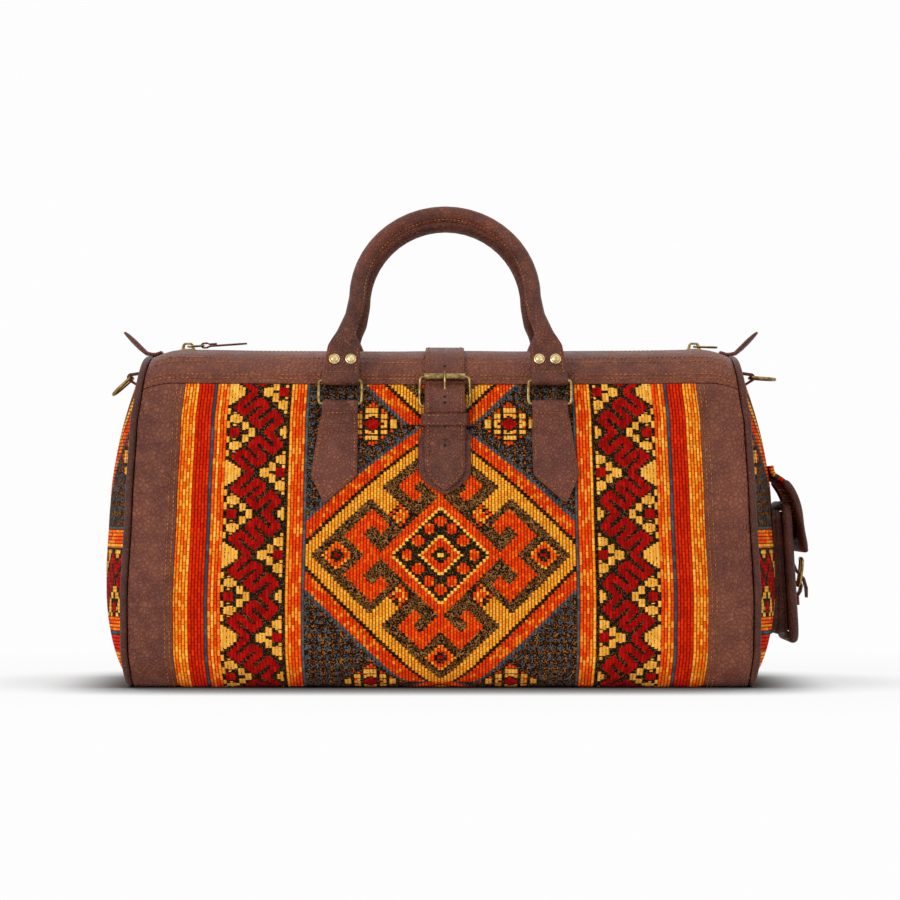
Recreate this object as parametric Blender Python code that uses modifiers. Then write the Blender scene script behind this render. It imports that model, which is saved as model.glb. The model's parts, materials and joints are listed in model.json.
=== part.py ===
"""Kilim weekender bag: woven panels, leather bands, rolled handles, strap and buckle, end pocket.

Metres, +Z up, the front faces -Y, the pocket is on the +X end. The base lies on z = 0.
The whole shell is one shape, given by skin(x, v, w): x runs along the bag, v runs up the
girth from the middle of the base, over the front to the zip and down the back, w is the
height above the outer face. Every panel, strap and patch is cut flat and bent over it.
"""
import math

import bmesh
import bpy
from mathutils import Vector
from mathutils.geometry import interpolate_bezier

# Body
HALF_LENGTH = 0.2575
BODY_DEPTH = 0.250
SHOULDER_DEPTH = 0.216
BODY_HEIGHT = 0.276
SHOULDER_DROP = 0.040
BASE_TURN = 0.026
TOP_FLAT = 0.148
TOP_CROWN = 0.004
END_PINCH = 0.05
END_DROP = 0.010
SHOULDER_RUN = 0.034
TOP_SAG = 0.002
END_BULGE = 0.0210

# Leather, cloth and gaps
SEAM_GAP = 0.0004
SEAT_GAP = 0.0003
CLOTH_T = 0.0032
LEATHER_T = 0.0028
LINING_T = 0.0010
BOARD_T = 0.0026
PIPING_R = 0.0028
PIPING_ROOM = 0.0062
PIPING_SINK = 0.0006
END_TUCK = 0.0031

# Seams round the girth and along the bag
BASE_SEAM = 0.092
TOP_SEAM_DROP = 0.030
BAND_WIDTH = 0.0425
ZIP_OPENING = 0.018
TAPE_HALF = 0.0195
TAPE_T = 0.0012
CHAIN_WIDTH = 0.0066
CHAIN_T = 0.0016
ZIP_INSET = 0.0315

# Woven stripes, outwards from the middle
FIELD_HALF = 0.111
LINE_EDGE = 0.1135
INNER_ORANGE_EDGE = 0.1255
BLACK_EDGE = 0.177
OUTER_ORANGE_EDGE = 0.187
BLUE_EDGE = 0.189
RED_EDGE = 0.203
MEDALLION_V = 0.221
MEDALLION_X = 0.0
MEDALLION_SLOPE = 1.0
MEDALLION_RISE = (0.136, 0.1205, 0.105)
SQUARE_RISE = (0.0504, 0.040)
HEART_RISE = 0.017

# Handle hardware
FITTING_SHIFT = 0.0035
HANDLE_SPREAD = 0.0842
RING_WIDTH = 0.0380
RING_HEIGHT = 0.0224
RING_WIRE_R = 0.0016
RING_DROP = 0.0475
RING_LEAN = 4.0
PATCH_T = 0.0021
PATCH_HALF = 0.0148
PATCH_TAIL = 0.016
PATCH_LENGTH = 0.080
PATCH_TIP = 0.022
PATCH_FLARE = 0.011
HANDLE_R = 0.0062
HANDLE_RISE = 0.146
HANDLE_LEG = 0.072
HANDLE_HALF = 0.0715
HANDLE_LEAN = 20.0
TAB_T = 0.0024
TAB_HALF = 0.0145
TAB_LENGTH = 0.030
TAB_NECK = 0.040
RIVET_RISE = 0.0175
RIVET_SPREAD = 0.0066
RIVET_R = 0.0044
RIVET_DOME = 0.0022
RIVET_SHAFT_R = 0.0014
RIVET_BACK_R = 0.0036
RIVET_BACK_T = 0.0008

# Closing strap and its buckle
STRAP_WIDTH = 0.0335
STRAP_T = 0.0024
STRAP_TIP_DROP = 0.1175
STRAP_POINT = 0.0185
STRAP_BACK = 0.190
HOLDER_WIDTH = 0.0430
HOLDER_T = 0.0020
HOLDER_TIP_DROP = 0.1205
HOLDER_POINT = 0.0185
HOLDER_TAIL = 0.017
BUCKLE_WIDTH = 0.0435
BUCKLE_HEIGHT = 0.0270
BUCKLE_WIRE_R = 0.0015
BUCKLE_DROP = 0.0498
ROLLER_R = 0.0028
ROLLER_BORE_R = 0.0018
ROLLER_LENGTH = 0.0330
PRONG_R = 0.0012
PRONG_SLOT = 0.0034
KEEPER_T = 0.0010
KEEPER_WIDTH = 0.0100
KEEPER_DROP = 0.0062

# Zip sliders and pulls
SLIDER_INSET = 0.0475
SLIDER_LENGTH = 0.013
SLIDER_WIDTH = 0.0068
SLIDER_HEIGHT = 0.0072
SLIDER_PLATE = 0.0022
BRIDGE_T = 0.0015
PULL_WIRE_R = 0.0009
LINK_LENGTH = 0.013
RIGHT_LINK_LENGTH = 0.019
PULL_LENGTH = 0.036
PULL_WIDTH = 0.011
PULL_T = 0.0026

# Fittings on the two ends
EAR_WIDTH = 0.026
EAR_T = 0.0030
EAR_RUN = 0.0235
EAR_RISE = 0.0185
D_RING_WIDTH = 0.030
D_RING_REACH = 0.024
D_RING_WIRE_R = 0.0015
D_LOOP_WIDTH = 0.018
D_LOOP_T = 0.0020
D_LOOP_REACH = 0.0105
D_RING_DROP = 0.0235

# End pocket
POCKET_HALF = 0.068
POCKET_BOTTOM = 0.034
POCKET_TOP = 0.150
POCKET_CORNER = 0.014
POCKET_STAND_TOP = 0.0240
POCKET_STAND_BOTTOM = 0.0310
POCKET_BINDING_R = 0.0040
POCKET_FACE_T = 0.0030
GUSSET_T = 0.0016
GUSSET_FOLD = 0.0035
FLAP_HALF = 0.067
FLAP_T = 0.0036
FLAP_BINDING_R = 0.0036
POCKET_BUCKLE_WIDTH = 0.026
POCKET_BUCKLE_HEIGHT = 0.026
POCKET_BUCKLE_WIRE_R = 0.0015
POCKET_BUCKLE_Z = 0.080
POCKET_STRAP_WIDTH = 0.0168
POCKET_STRAP_T = 0.0020

# Places that follow from the sizes
SHOULDER_Z = BODY_HEIGHT - SHOULDER_DROP
TOP_SEAM_Z = BODY_HEIGHT - TOP_SEAM_DROP
RING_Z = BODY_HEIGHT - RING_DROP
STRAP_TIP_Z = BODY_HEIGHT - STRAP_TIP_DROP
HOLDER_TIP_Z = BODY_HEIGHT - HOLDER_TIP_DROP
BUCKLE_Z = BODY_HEIGHT - BUCKLE_DROP
D_RING_Z = BODY_HEIGHT - D_RING_DROP
KILIM_HALF = HALF_LENGTH - BAND_WIDTH
ZIP_HALF = HALF_LENGTH - ZIP_INSET
SLIDER_X = HALF_LENGTH - SLIDER_INSET
POCKET_X_TOP = HALF_LENGTH + POCKET_STAND_TOP
POCKET_X_BOTTOM = HALF_LENGTH + POCKET_STAND_BOTTOM

# Share of the full length that the bag has, by share of its height
REACH = ((0.0, 0.985), (0.109, 0.998), (0.254, 1.0), (0.543, 0.985), (0.779, 0.972), (0.888, 0.957),
         (1.014, 0.938))
WALL_STEPS = 5
END_SHARES = (1.0, 0.90, 0.66, 0.28)
END_MIDDLE = 0.122


def lerp(a, b, k):
    """The value a share k of the way from a to b."""
    return a + (b - a) * k


def smooth(k):
    """An even ease between 0 and 1."""
    k = max(0.0, min(1.0, k))
    return k * k * (3.0 - 2.0 * k)


def trace_profile():
    """Half of the girth as (run, out, height) from the middle of the base to the zip."""
    half = BODY_DEPTH / 2
    shoulder = Vector((0.0, SHOULDER_DEPTH / 2, SHOULDER_Z))
    edge = Vector((0.0, TOP_FLAT / 2, BODY_HEIGHT - TOP_CROWN))
    turn = Vector((0.0, half - BASE_TURN, 0.0))
    wall = Vector((0.0, half, BASE_TURN))
    rise = Vector((0.0, -0.13, 0.99))
    over = Vector((0.0, -0.985, 0.17))
    top = Vector((0.0, 0.0, BODY_HEIGHT))
    pull = SHOULDER_Z - BASE_TURN
    points = [Vector((0.0, 0.0, 0.0))]
    points += interpolate_bezier(turn, turn + Vector((0.0, BASE_TURN * 0.56, 0.0)),
                                 wall - Vector((0.0, 0.0, BASE_TURN * 0.56)), wall, 40)
    points += interpolate_bezier(wall, wall + Vector((0.0, 0.0, pull * 0.35)),
                                 shoulder - rise * pull * 0.35, shoulder, 80)[1:]
    points += interpolate_bezier(shoulder, shoulder + rise * 0.020,
                                 edge - over * 0.021, edge, 40)[1:]
    points += interpolate_bezier(edge, edge + over * 0.026,
                                 top + Vector((0.0, 0.024, 0.0)), top, 40)[1:]
    runs = [0.0]
    for a, b in zip(points, points[1:]):
        runs.append(runs[-1] + (b - a).length)
    return [(run, p.y, p.z) for run, p in zip(runs, points)]


PROFILE = trace_profile()
HALF_GIRTH = PROFILE[-1][0]


def profile(v):
    """Distance out and height of the girth at the run v."""
    for (run_a, out_a, z_a), (run_b, out_b, z_b) in zip(PROFILE, PROFILE[1:]):
        if v <= run_b:
            k = (v - run_a) / (run_b - run_a)
            return lerp(out_a, out_b, k), lerp(z_a, z_b, k)
    return PROFILE[-1][1], PROFILE[-1][2]


def run_at(z):
    """The run of the wall at a height."""
    for (run_a, out_a, z_a), (run_b, out_b, z_b) in zip(PROFILE, PROFILE[1:]):
        if z_a < z_b and z <= z_b:
            return lerp(run_a, run_b, (z - z_a) / (z_b - z_a))
    return HALF_GIRTH


def reach(z):
    """Share of the full length that the bag has at a height."""
    share = z / BODY_HEIGHT
    for (low, r_low), (high, r_high) in zip(REACH, REACH[1:]):
        if share <= high:
            k = (share - low) / (high - low)
            return lerp(r_low, r_high, (smooth(k) + k) / 2)
    return REACH[-1][1]


def shape(x, v):
    """A point on the outer face of the shell."""
    side = -1.0
    if v > HALF_GIRTH:
        v = 2.0 * HALF_GIRTH - v
        side = 1.0
    if v < 0.0:
        v = -v
        side = 1.0
    out, z = profile(v)
    k = x / HALF_LENGTH
    edge = max(0.0, (abs(x) - (HALF_LENGTH - SHOULDER_RUN)) / SHOULDER_RUN)
    height = smooth((z / BODY_HEIGHT - 0.6) / 0.4)
    drop = END_DROP * edge * edge * height + TOP_SAG * (1.0 - k * k) * height
    return Vector((x * reach(z), side * out * (1.0 - END_PINCH * k ** 4), z - drop))


def skin(x, v, w=0.0):
    """The point above (or with minus w, below) the outer face."""
    e = 0.002
    along = shape(x + e, v) - shape(x - e, v)
    up = shape(x, v + e) - shape(x, v - e)
    return shape(x, v) + along.cross(up).normalized() * w


def upright(x, v, w):
    """A point off the girth, moved within its own upright section only."""
    e = 0.002
    up = shape(x, v + e) - shape(x, v - e)
    off = Vector((0.0, -up.z, up.y)).normalized()
    return shape(x, v) + off * w


def welt_depth(v):
    """How deep the middle of the piping lies: clear of the floor below, proud on the walls."""
    turn = PROFILE[1][0]
    wall = PROFILE[40][0]
    v = min(v, 2.0 * HALF_GIRTH - v)
    return lerp(PIPING_R + SEAT_GAP, PIPING_SINK, smooth((v - turn) / (wall - turn)))


def outline(x, tuck, count):
    """The whole girth at a station, front first, set in from the middle of the piping by tuck."""
    turn = PROFILE[1][0]
    wall = PROFILE[40][0]
    shoulder = run_at(SHOULDER_Z)
    marks = [0.0, turn * 0.5, turn]
    marks += [lerp(turn, wall, k / 4) for k in range(1, 5)]
    marks += [lerp(wall, shoulder, k / count) for k in range(1, count + 1)]
    marks += [lerp(shoulder, HALF_GIRTH, k / 7) for k in (1, 2, 3, 4, 5.5)]
    loop = marks + [HALF_GIRTH] + [2.0 * HALF_GIRTH - v for v in reversed(marks[1:])]
    return [upright(x, v, -welt_depth(v) - tuck) for v in loop]


def material(name, color, roughness, metallic=0.0):
    """A plain finish."""
    made = bpy.data.materials.new(name)
    made.use_nodes = True
    shader = made.node_tree.nodes["Principled BSDF"]
    shader.inputs["Base Color"].default_value = (*color, 1.0)
    shader.inputs["Roughness"].default_value = roughness
    shader.inputs["Metallic"].default_value = metallic
    made.diffuse_color = (*color, 1.0)
    return made


def new_part(name, bm, materials, pivot=(0.0, 0.0, 0.0), sharp=38.0):
    """Close a mesh into a named object whose origin is the pivot."""
    bmesh.ops.recalc_face_normals(bm, faces=bm.faces)
    if bm.calc_volume(signed=True) < 0.0:
        bmesh.ops.reverse_faces(bm, faces=bm.faces)
    pivot = Vector(pivot)
    for vert in bm.verts:
        vert.co -= pivot
    for face in bm.faces:
        face.smooth = True
    mesh = bpy.data.meshes.new(name)
    bm.to_mesh(mesh)
    bm.free()
    mesh.set_sharp_from_angle(angle=math.radians(sharp))
    for item in materials:
        mesh.materials.append(item)
    part = bpy.data.objects.new(name, mesh)
    part.location = pivot
    BAG.objects.link(part)
    return part


def flat_sheet(xs, vs):
    """A flat grid with its lines on the given cuts."""
    bm = bmesh.new()
    nx = len(xs) - 1
    nv = len(vs) - 1
    bmesh.ops.create_grid(bm, x_segments=nx, y_segments=nv, size=0.5)
    for vert in bm.verts:
        vert.co.x = xs[round((vert.co.x + 0.5) * nx)]
        vert.co.y = vs[round((vert.co.y + 0.5) * nv)]
    return bm


def bend(bm, thickness, lift=0.0, form=skin):
    """Give a flat sheet its thickness, down from lift, and bend it over the form."""
    bmesh.ops.solidify(bm, geom=bm.faces[:], thickness=thickness)
    low = min(vert.co.z for vert in bm.verts)
    for vert in bm.verts:
        vert.co = form(vert.co.x, vert.co.y, vert.co.z - low - thickness + lift)
    return bm


def mirrored(values):
    """The same cuts on both sides of the middle, which is one of them."""
    return [-value for value in reversed(values)] + [0.0] + list(values)


def loft(rings, closed=False):
    """Walls between rings of equal count, with the ends capped or the row closed."""
    bm = bmesh.new()
    rows = [[bm.verts.new(p) for p in ring] for ring in rings]
    pairs = list(zip(rows, rows[1:]))
    if closed:
        pairs.append((rows[-1], rows[0]))
    for a, b in pairs:
        for i in range(len(a)):
            j = (i + 1) % len(a)
            bm.faces.new((a[i], a[j], b[j], b[i]))
    if not closed:
        bm.faces.new(rows[0])
        bm.faces.new(rows[-1])
    return bm


def ribbon_rings(path, thickness, halves, form, shift=0.0):
    """Flat sections along a path of (v, w) mid points; halves gives (left, right) at each."""
    rings = []
    for i, (v, w) in enumerate(path):
        before = path[max(i - 1, 0)]
        after = path[min(i + 1, len(path) - 1)]
        run = Vector((after[0] - before[0], after[1] - before[1])).normalized()
        dv = -run.y * thickness / 2
        dw = run.x * thickness / 2
        left, right = halves[i]
        rings.append([form(shift + right, v + dv, w + dw), form(shift + left, v + dv, w + dw),
                      form(shift + left, v - dv, w - dw), form(shift + right, v - dv, w - dw)])
    return rings


def wire(name, points, radius, finish, pivot=None, closed=True, resolution=2):
    """A round wire or cord along points, as a bevelled curve."""
    pivot = Vector(pivot) if pivot else Vector((0.0, 0.0, 0.0))
    curve = bpy.data.curves.new(name, "CURVE")
    curve.dimensions = "3D"
    curve.bevel_depth = radius
    curve.bevel_resolution = resolution
    curve.use_fill_caps = not closed
    curve.resolution_u = 1
    curve.render_resolution_u = 0
    spline = curve.splines.new("POLY")
    spline.points.add(len(points) - 1)
    for point, place in zip(spline.points, points):
        point.co = (*(Vector(place) - pivot), 1.0)
    spline.use_cyclic_u = closed
    spline.use_smooth = True
    curve.materials.append(finish)
    part = bpy.data.objects.new(name, curve)
    part.location = pivot
    BAG.objects.link(part)
    return part


def arc(centre, radius, start, end, count):
    """Points of an arc in a plane, angles in degrees."""
    points = []
    for i in range(count + 1):
        a = math.radians(lerp(start, end, i / count))
        points.append((centre[0] + radius * math.cos(a), centre[1] + radius * math.sin(a)))
    return points


def round_box(width, height, radius, count):
    """A rectangle with rounded corners round the origin."""
    hx = width / 2 - radius
    hy = height / 2 - radius
    points = []
    for cx, cy, a in ((hx, hy, 0), (-hx, hy, 90), (-hx, -hy, 180), (hx, -hy, 270)):
        points += arc((cx, cy), radius, a, a + 90, count)
    return points


def box_cutter(name, corners):
    """A box shaped tool, kept out of the picture, given by its eight corners."""
    bm = bmesh.new()
    bmesh.ops.create_cube(bm, size=2.0)
    for vert in bm.verts:
        vert.co = corners(vert.co.x, vert.co.y, vert.co.z)
    return new_cutter(name, bm)


def new_cutter(name, bm):
    """A cutting tool in its own collection."""
    bmesh.ops.recalc_face_normals(bm, faces=bm.faces)
    mesh = bpy.data.meshes.new(name)
    bm.to_mesh(mesh)
    bm.free()
    tool = bpy.data.objects.new(name, mesh)
    tool.hide_render = True
    tool.display_type = "WIRE"
    CUTTERS.objects.link(tool)
    return tool


def cut(part, tool):
    """Cut a part with a tool."""
    step = part.modifiers.new("cut", "BOOLEAN")
    step.operation = "DIFFERENCE"
    step.solver = "EXACT"
    step.object = tool


for old in list(bpy.data.objects):
    bpy.data.objects.remove(old)

BAG = bpy.data.collections.new("kilim_weekender_bag")
CUTTERS = bpy.data.collections.new("cutters")
bpy.context.scene.collection.children.link(BAG)
bpy.context.scene.collection.children.link(CUTTERS)

LEATHER = material("brown_leather", (0.165, 0.066, 0.045), 0.55)
PIPE_LEATHER = material("piping_leather", (0.130, 0.050, 0.036), 0.50)
STRAP_LEATHER = material("strap_leather", (0.118, 0.045, 0.032), 0.50)
HANDLE_LEATHER = material("handle_leather", (0.138, 0.052, 0.036), 0.45)
GROUND = material("kilim_dark_ground", (0.040, 0.028, 0.016), 0.92)
ORANGE = material("kilim_orange", (0.560, 0.155, 0.012), 0.92)
AMBER = material("kilim_amber", (0.620, 0.275, 0.040), 0.92)
RED = material("kilim_red_orange", (0.590, 0.062, 0.006), 0.92)
DARK_RED = material("kilim_dark_red", (0.250, 0.006, 0.004), 0.92)
BLUE = material("kilim_blue_grey", (0.055, 0.085, 0.110), 0.92)
LINING_CLOTH = material("lining_cloth", (0.170, 0.105, 0.060), 0.90)
BOARD = material("base_board", (0.210, 0.170, 0.120), 0.80)
TAPE_CLOTH = material("zip_tape", (0.070, 0.035, 0.024), 0.85)
BRASS = material("antique_brass", (0.260, 0.185, 0.085), 0.38, 1.0)
CHAIN_METAL = material("zip_metal", (0.230, 0.165, 0.080), 0.42, 1.0)
KILIM = (GROUND, ORANGE, AMBER, RED, DARK_RED, BLUE)

TURN_V = PROFILE[1][0]
WALL_V = PROFILE[40][0]
SHOULDER_V = run_at(SHOULDER_Z)
TOP_SEAM = run_at(TOP_SEAM_Z)
CHAIN_TOP = CHAIN_T - LEATHER_T
END_EDGE = HALF_LENGTH - PIPING_ROOM
END_CUTS = [KILIM_HALF + SEAM_GAP / 2]
END_CUTS += [lerp(HALF_LENGTH - SHOULDER_RUN, END_EDGE, k / 4) for k in range(5)]
MIDDLE_CUTS = [KILIM_HALF * k / 4 for k in (1, 2, 3)]
STRIPES = [edge for edge in (FIELD_HALF, LINE_EDGE, INNER_ORANGE_EDGE, BLACK_EDGE, OUTER_ORANGE_EDGE,
                             BLUE_EDGE, RED_EDGE) if edge < KILIM_HALF - SEAM_GAP]
STRIPES.append(KILIM_HALF - SEAM_GAP / 2)
WALL_CUTS = [BASE_SEAM + SEAM_GAP / 2, TURN_V]
WALL_CUTS += [lerp(TURN_V, WALL_V, k / 4) for k in range(1, 5)]
WALL_CUTS += [lerp(WALL_V, SHOULDER_V, k / 4) for k in range(1, 5)]
WALL_CUTS += [TOP_SEAM - SEAM_GAP / 2]
TOP_CUTS = [TOP_SEAM + SEAM_GAP / 2]
TOP_CUTS += [lerp(TOP_SEAM, HALF_GIRTH - ZIP_OPENING / 2, k) for k in (0.12, 0.26, 0.40, 0.60, 0.80, 1.0)]


def other_side(values):
    """The same cuts on the back of the bag."""
    return [2.0 * HALF_GIRTH - v for v in reversed(values)]


def kilim_field(x, v):
    """Which woven field a spot of the cloth is in."""
    away = abs(x)
    for limit, slot in ((FIELD_HALF, None), (LINE_EDGE, 5), (INNER_ORANGE_EDGE, 1), (BLACK_EDGE, 4),
                        (OUTER_ORANGE_EDGE, 1), (BLUE_EDGE, 5), (RED_EDGE, 3), (KILIM_HALF, 2)):
        if away < limit:
            break
    if slot == 4:
        wave = abs(((v - MEDALLION_V) / 0.066 + 100.25) % 1.0 - 0.5) * 2.0
        middle = lerp(INNER_ORANGE_EDGE, BLACK_EDGE, lerp(0.25, 0.75, wave))
        return 4 if abs(away - middle) < 0.016 else 0
    if slot is not None:
        return slot
    rise = abs(x - MEDALLION_X) * MEDALLION_SLOPE + abs(v - MEDALLION_V)
    for limit, slot in ((HEART_RISE, 2), (SQUARE_RISE[1], 0), (SQUARE_RISE[0], 3),
                        (MEDALLION_RISE[2], 0), (MEDALLION_RISE[1], 2), (MEDALLION_RISE[0], 3)):
        if rise < limit:
            return slot
    return 0


def kilim_panel(name, back):
    """A woven panel with its stripes and its stepped medallion as fields of colour."""
    bm = flat_sheet(mirrored(STRIPES), WALL_CUTS)
    bmesh.ops.bisect_plane(bm, geom=bm.verts[:] + bm.edges[:] + bm.faces[:], dist=1e-6,
                           plane_co=(0.0, MEDALLION_V, 0.0), plane_no=(0.0, 1.0, 0.0))
    for sx in (-1, 1):
        for sv in (-1, 1):
            for rise in MEDALLION_RISE[:1] + MEDALLION_RISE[2:] + SQUARE_RISE:
                faces = []
                for face in bm.faces:
                    spot = face.calc_center_median()
                    if abs(spot.x) < FIELD_HALF and spot.x * sx > 0 and (spot.y - MEDALLION_V) * sv > 0:
                        faces.append(face)
                geom = set(faces)
                for face in faces:
                    geom.update(face.edges)
                    geom.update(face.verts)
                bmesh.ops.bisect_plane(bm, geom=list(geom), dist=1e-6,
                                       plane_co=(0.0, MEDALLION_V + sv * rise, 0.0),
                                       plane_no=(sx * MEDALLION_SLOPE, sv, 0.0))
    for face in bm.faces:
        spot = face.calc_center_median()
        face.material_index = kilim_field(spot.x, spot.y)
    if back:
        for vert in bm.verts:
            vert.co.y = 2.0 * HALF_GIRTH - vert.co.y
    return new_part(name, bend(bm, CLOTH_T), KILIM)


def plain_panel(name, xs, vs, thickness, finish, lift=0.0):
    """A leather or cloth panel of the shell."""
    return new_part(name, bend(flat_sheet(xs, vs), thickness, lift), (finish,))


def shell():
    """The woven panels, the leather bands, the base and the top with its zip."""
    kilim_panel("front_kilim_panel", False)
    kilim_panel("back_kilim_panel", True)
    left_cuts = [-value for value in reversed(END_CUTS)]
    plain_panel("front_left_band", left_cuts, WALL_CUTS, LEATHER_T, LEATHER)
    plain_panel("front_right_band", END_CUTS, WALL_CUTS, LEATHER_T, LEATHER)
    plain_panel("back_left_band", left_cuts, other_side(WALL_CUTS), LEATHER_T, LEATHER)
    plain_panel("back_right_band", END_CUTS, other_side(WALL_CUTS), LEATHER_T, LEATHER)
    base_x = mirrored(MIDDLE_CUTS[1:] + END_CUTS)
    base_v = BASE_SEAM - SEAM_GAP / 2
    plain_panel("base_panel", base_x, [-base_v, 0.0, base_v], LEATHER_T, LEATHER)
    board_x = [-END_EDGE + 0.006, 0.0, END_EDGE - 0.006]
    board_v = BASE_SEAM - 0.008
    plain_panel("base_board", board_x, [-board_v, board_v], BOARD_T, BOARD, -LEATHER_T - SEAT_GAP)
    top_x = mirrored(MIDDLE_CUTS + END_CUTS)
    plain_panel("top_band_front", top_x, TOP_CUTS, LEATHER_T, LEATHER)
    plain_panel("top_band_back", top_x, other_side(TOP_CUTS), LEATHER_T, LEATHER)
    tape_x = mirrored(MIDDLE_CUTS + [KILIM_HALF] + END_CUTS[1:-1])
    tape_v = [HALF_GIRTH + TAPE_HALF * k for k in (-1.0, 0.0, 1.0)]
    under = -LEATHER_T - SEAT_GAP
    plain_panel("zip_tape", tape_x, tape_v, TAPE_T, TAPE_CLOTH, under)
    chain_x = mirrored(MIDDLE_CUTS + [KILIM_HALF, ZIP_HALF])
    half = CHAIN_WIDTH / 2
    chain_v = [HALF_GIRTH - half, HALF_GIRTH, HALF_GIRTH + half]
    plain_panel("zip_chain", chain_x, chain_v, CHAIN_T, CHAIN_METAL, CHAIN_TOP)


def crown(rim, share, middle, inset, side):
    """A point of a bulging end, a share of the way from the middle to its rim."""
    y = rim.y * share
    z = lerp(middle, rim.z, share)
    power = lerp(4.0, 2.0, z / BODY_HEIGHT)
    x = HALF_LENGTH * lerp(reach(middle), reach(rim.z), share)
    return Vector((side * (x - inset + END_BULGE * (1.0 - share ** power)), y, z))


def end_rings(side, inset, tuck, shares, middle):
    """Rings of a bulging end from its rim inwards."""
    rim = outline(side * (HALF_LENGTH - PIPING_R), tuck, WALL_STEPS)
    return [[crown(point, share, middle, inset, side) for point in rim] for share in shares]


def end_x(y, z):
    """How far out the right end reaches at a spot."""
    rim = outline(HALF_LENGTH - PIPING_R, END_TUCK, WALL_STEPS)
    best = None
    for a, b in zip(rim, rim[1:] + rim[:1]):
        ca = a.y * (z - END_MIDDLE) - (a.z - END_MIDDLE) * y
        cb = b.y * (z - END_MIDDLE) - (b.z - END_MIDDLE) * y
        if ca * cb <= 0.0 and ca != cb:
            p = a.lerp(b, ca / (ca - cb))
            along = p.y * y + (p.z - END_MIDDLE) * (z - END_MIDDLE)
            if along > 0.0:
                best = p
    if best is None:
        return crown(rim[0], END_SHARES[-1], END_MIDDLE, 0.002, 1.0).x
    share = math.hypot(y, z - END_MIDDLE) / math.hypot(best.y, best.z - END_MIDDLE)
    share = max(share, END_SHARES[-1])
    for outer, inner in zip(END_SHARES, END_SHARES[1:]):
        if share >= inner:
            far = crown(best, outer, END_MIDDLE, 0.002, 1.0).x
            near = crown(best, inner, END_MIDDLE, 0.002, 1.0).x
            return lerp(near, far, (share - inner) / (outer - inner))
    return crown(best, share, END_MIDDLE, 0.002, 1.0).x


def end_panel(name, side):
    """A woven end, crowned, between the piping and the rest."""
    outer = end_rings(side, 0.002, END_TUCK, END_SHARES, END_MIDDLE)
    inner = end_rings(side, 0.002 + CLOTH_T, END_TUCK, END_SHARES, END_MIDDLE)
    bm = loft(list(reversed(outer)) + inner)
    for face in bm.faces:
        z = face.calc_center_median().z
        face.material_index = 0
        for low, high, slot in ((0.0, 0.026, 2), (0.026, 0.046, 3), (0.046, 0.061, 1), (0.113, 0.129, 1)):
            if low <= z < high:
                face.material_index = slot
    new_part(name, bm, KILIM)


def piping(name, side):
    """The leather welt round an end."""
    points = outline(side * (HALF_LENGTH - PIPING_R), 0.0, WALL_STEPS)
    wire(name, points, PIPING_R, PIPE_LEATHER)


def lining():
    """The sewn cloth inside, open along the top below the zip."""
    def place(x, v, w):
        low = LEATHER_T + BOARD_T + 3 * SEAT_GAP
        depth = lerp(low, CLOTH_T + 2 * SEAT_GAP, smooth((abs(v) - TURN_V) / 0.030))
        return skin(x, v, -depth)

    half = END_EDGE - 0.0020
    stop = HALF_GIRTH - 0.026
    marks = [0.0, TURN_V] + [lerp(TURN_V, WALL_V, k / 3) for k in (1, 2, 3)]
    marks += [lerp(WALL_V, SHOULDER_V, 0.5), SHOULDER_V, lerp(SHOULDER_V, stop, 0.4), stop]
    girth = [-v for v in reversed(marks[1:])] + marks
    bm = bmesh.new()
    near = HALF_LENGTH - 0.024
    stations = [-half, -near, -MIDDLE_CUTS[1], MIDDLE_CUTS[1], near, half]
    rows = [[bm.verts.new(place(x, v, 0.0)) for v in girth] for x in stations]
    for a, b in zip(rows, rows[1:]):
        for i in range(len(girth) - 1):
            bm.faces.new((a[i], a[i + 1], b[i + 1], b[i]))
    for side, row in ((-1, rows[0]), (1, rows[-1])):
        rim = row
        last = [vert.co.copy() for vert in row]
        for share in (0.85, 0.5):
            ring = []
            for point in last:
                spot = crown(point, share, END_MIDDLE, 0.0098, side)
                ring.append(bm.verts.new(spot))
            for i in range(len(rim)):
                j = (i + 1) % len(rim)
                bm.faces.new((rim[i], rim[j], ring[j], ring[i]))
            rim = ring
        bm.faces.new(rim)
    bmesh.ops.recalc_face_normals(bm, faces=bm.faces)
    part = new_part("lining", bm, (LINING_CLOTH,))
    shell_step = part.modifiers.new("cloth", "SOLIDIFY")
    shell_step.thickness = LINING_T
    shell_step.offset = -1.0
    return part


def side_frame(side):
    """Front is 1, back is -1: how a run of the front maps to this side."""
    return (lambda v: v) if side > 0 else (lambda v: 2.0 * HALF_GIRTH - v)


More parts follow.
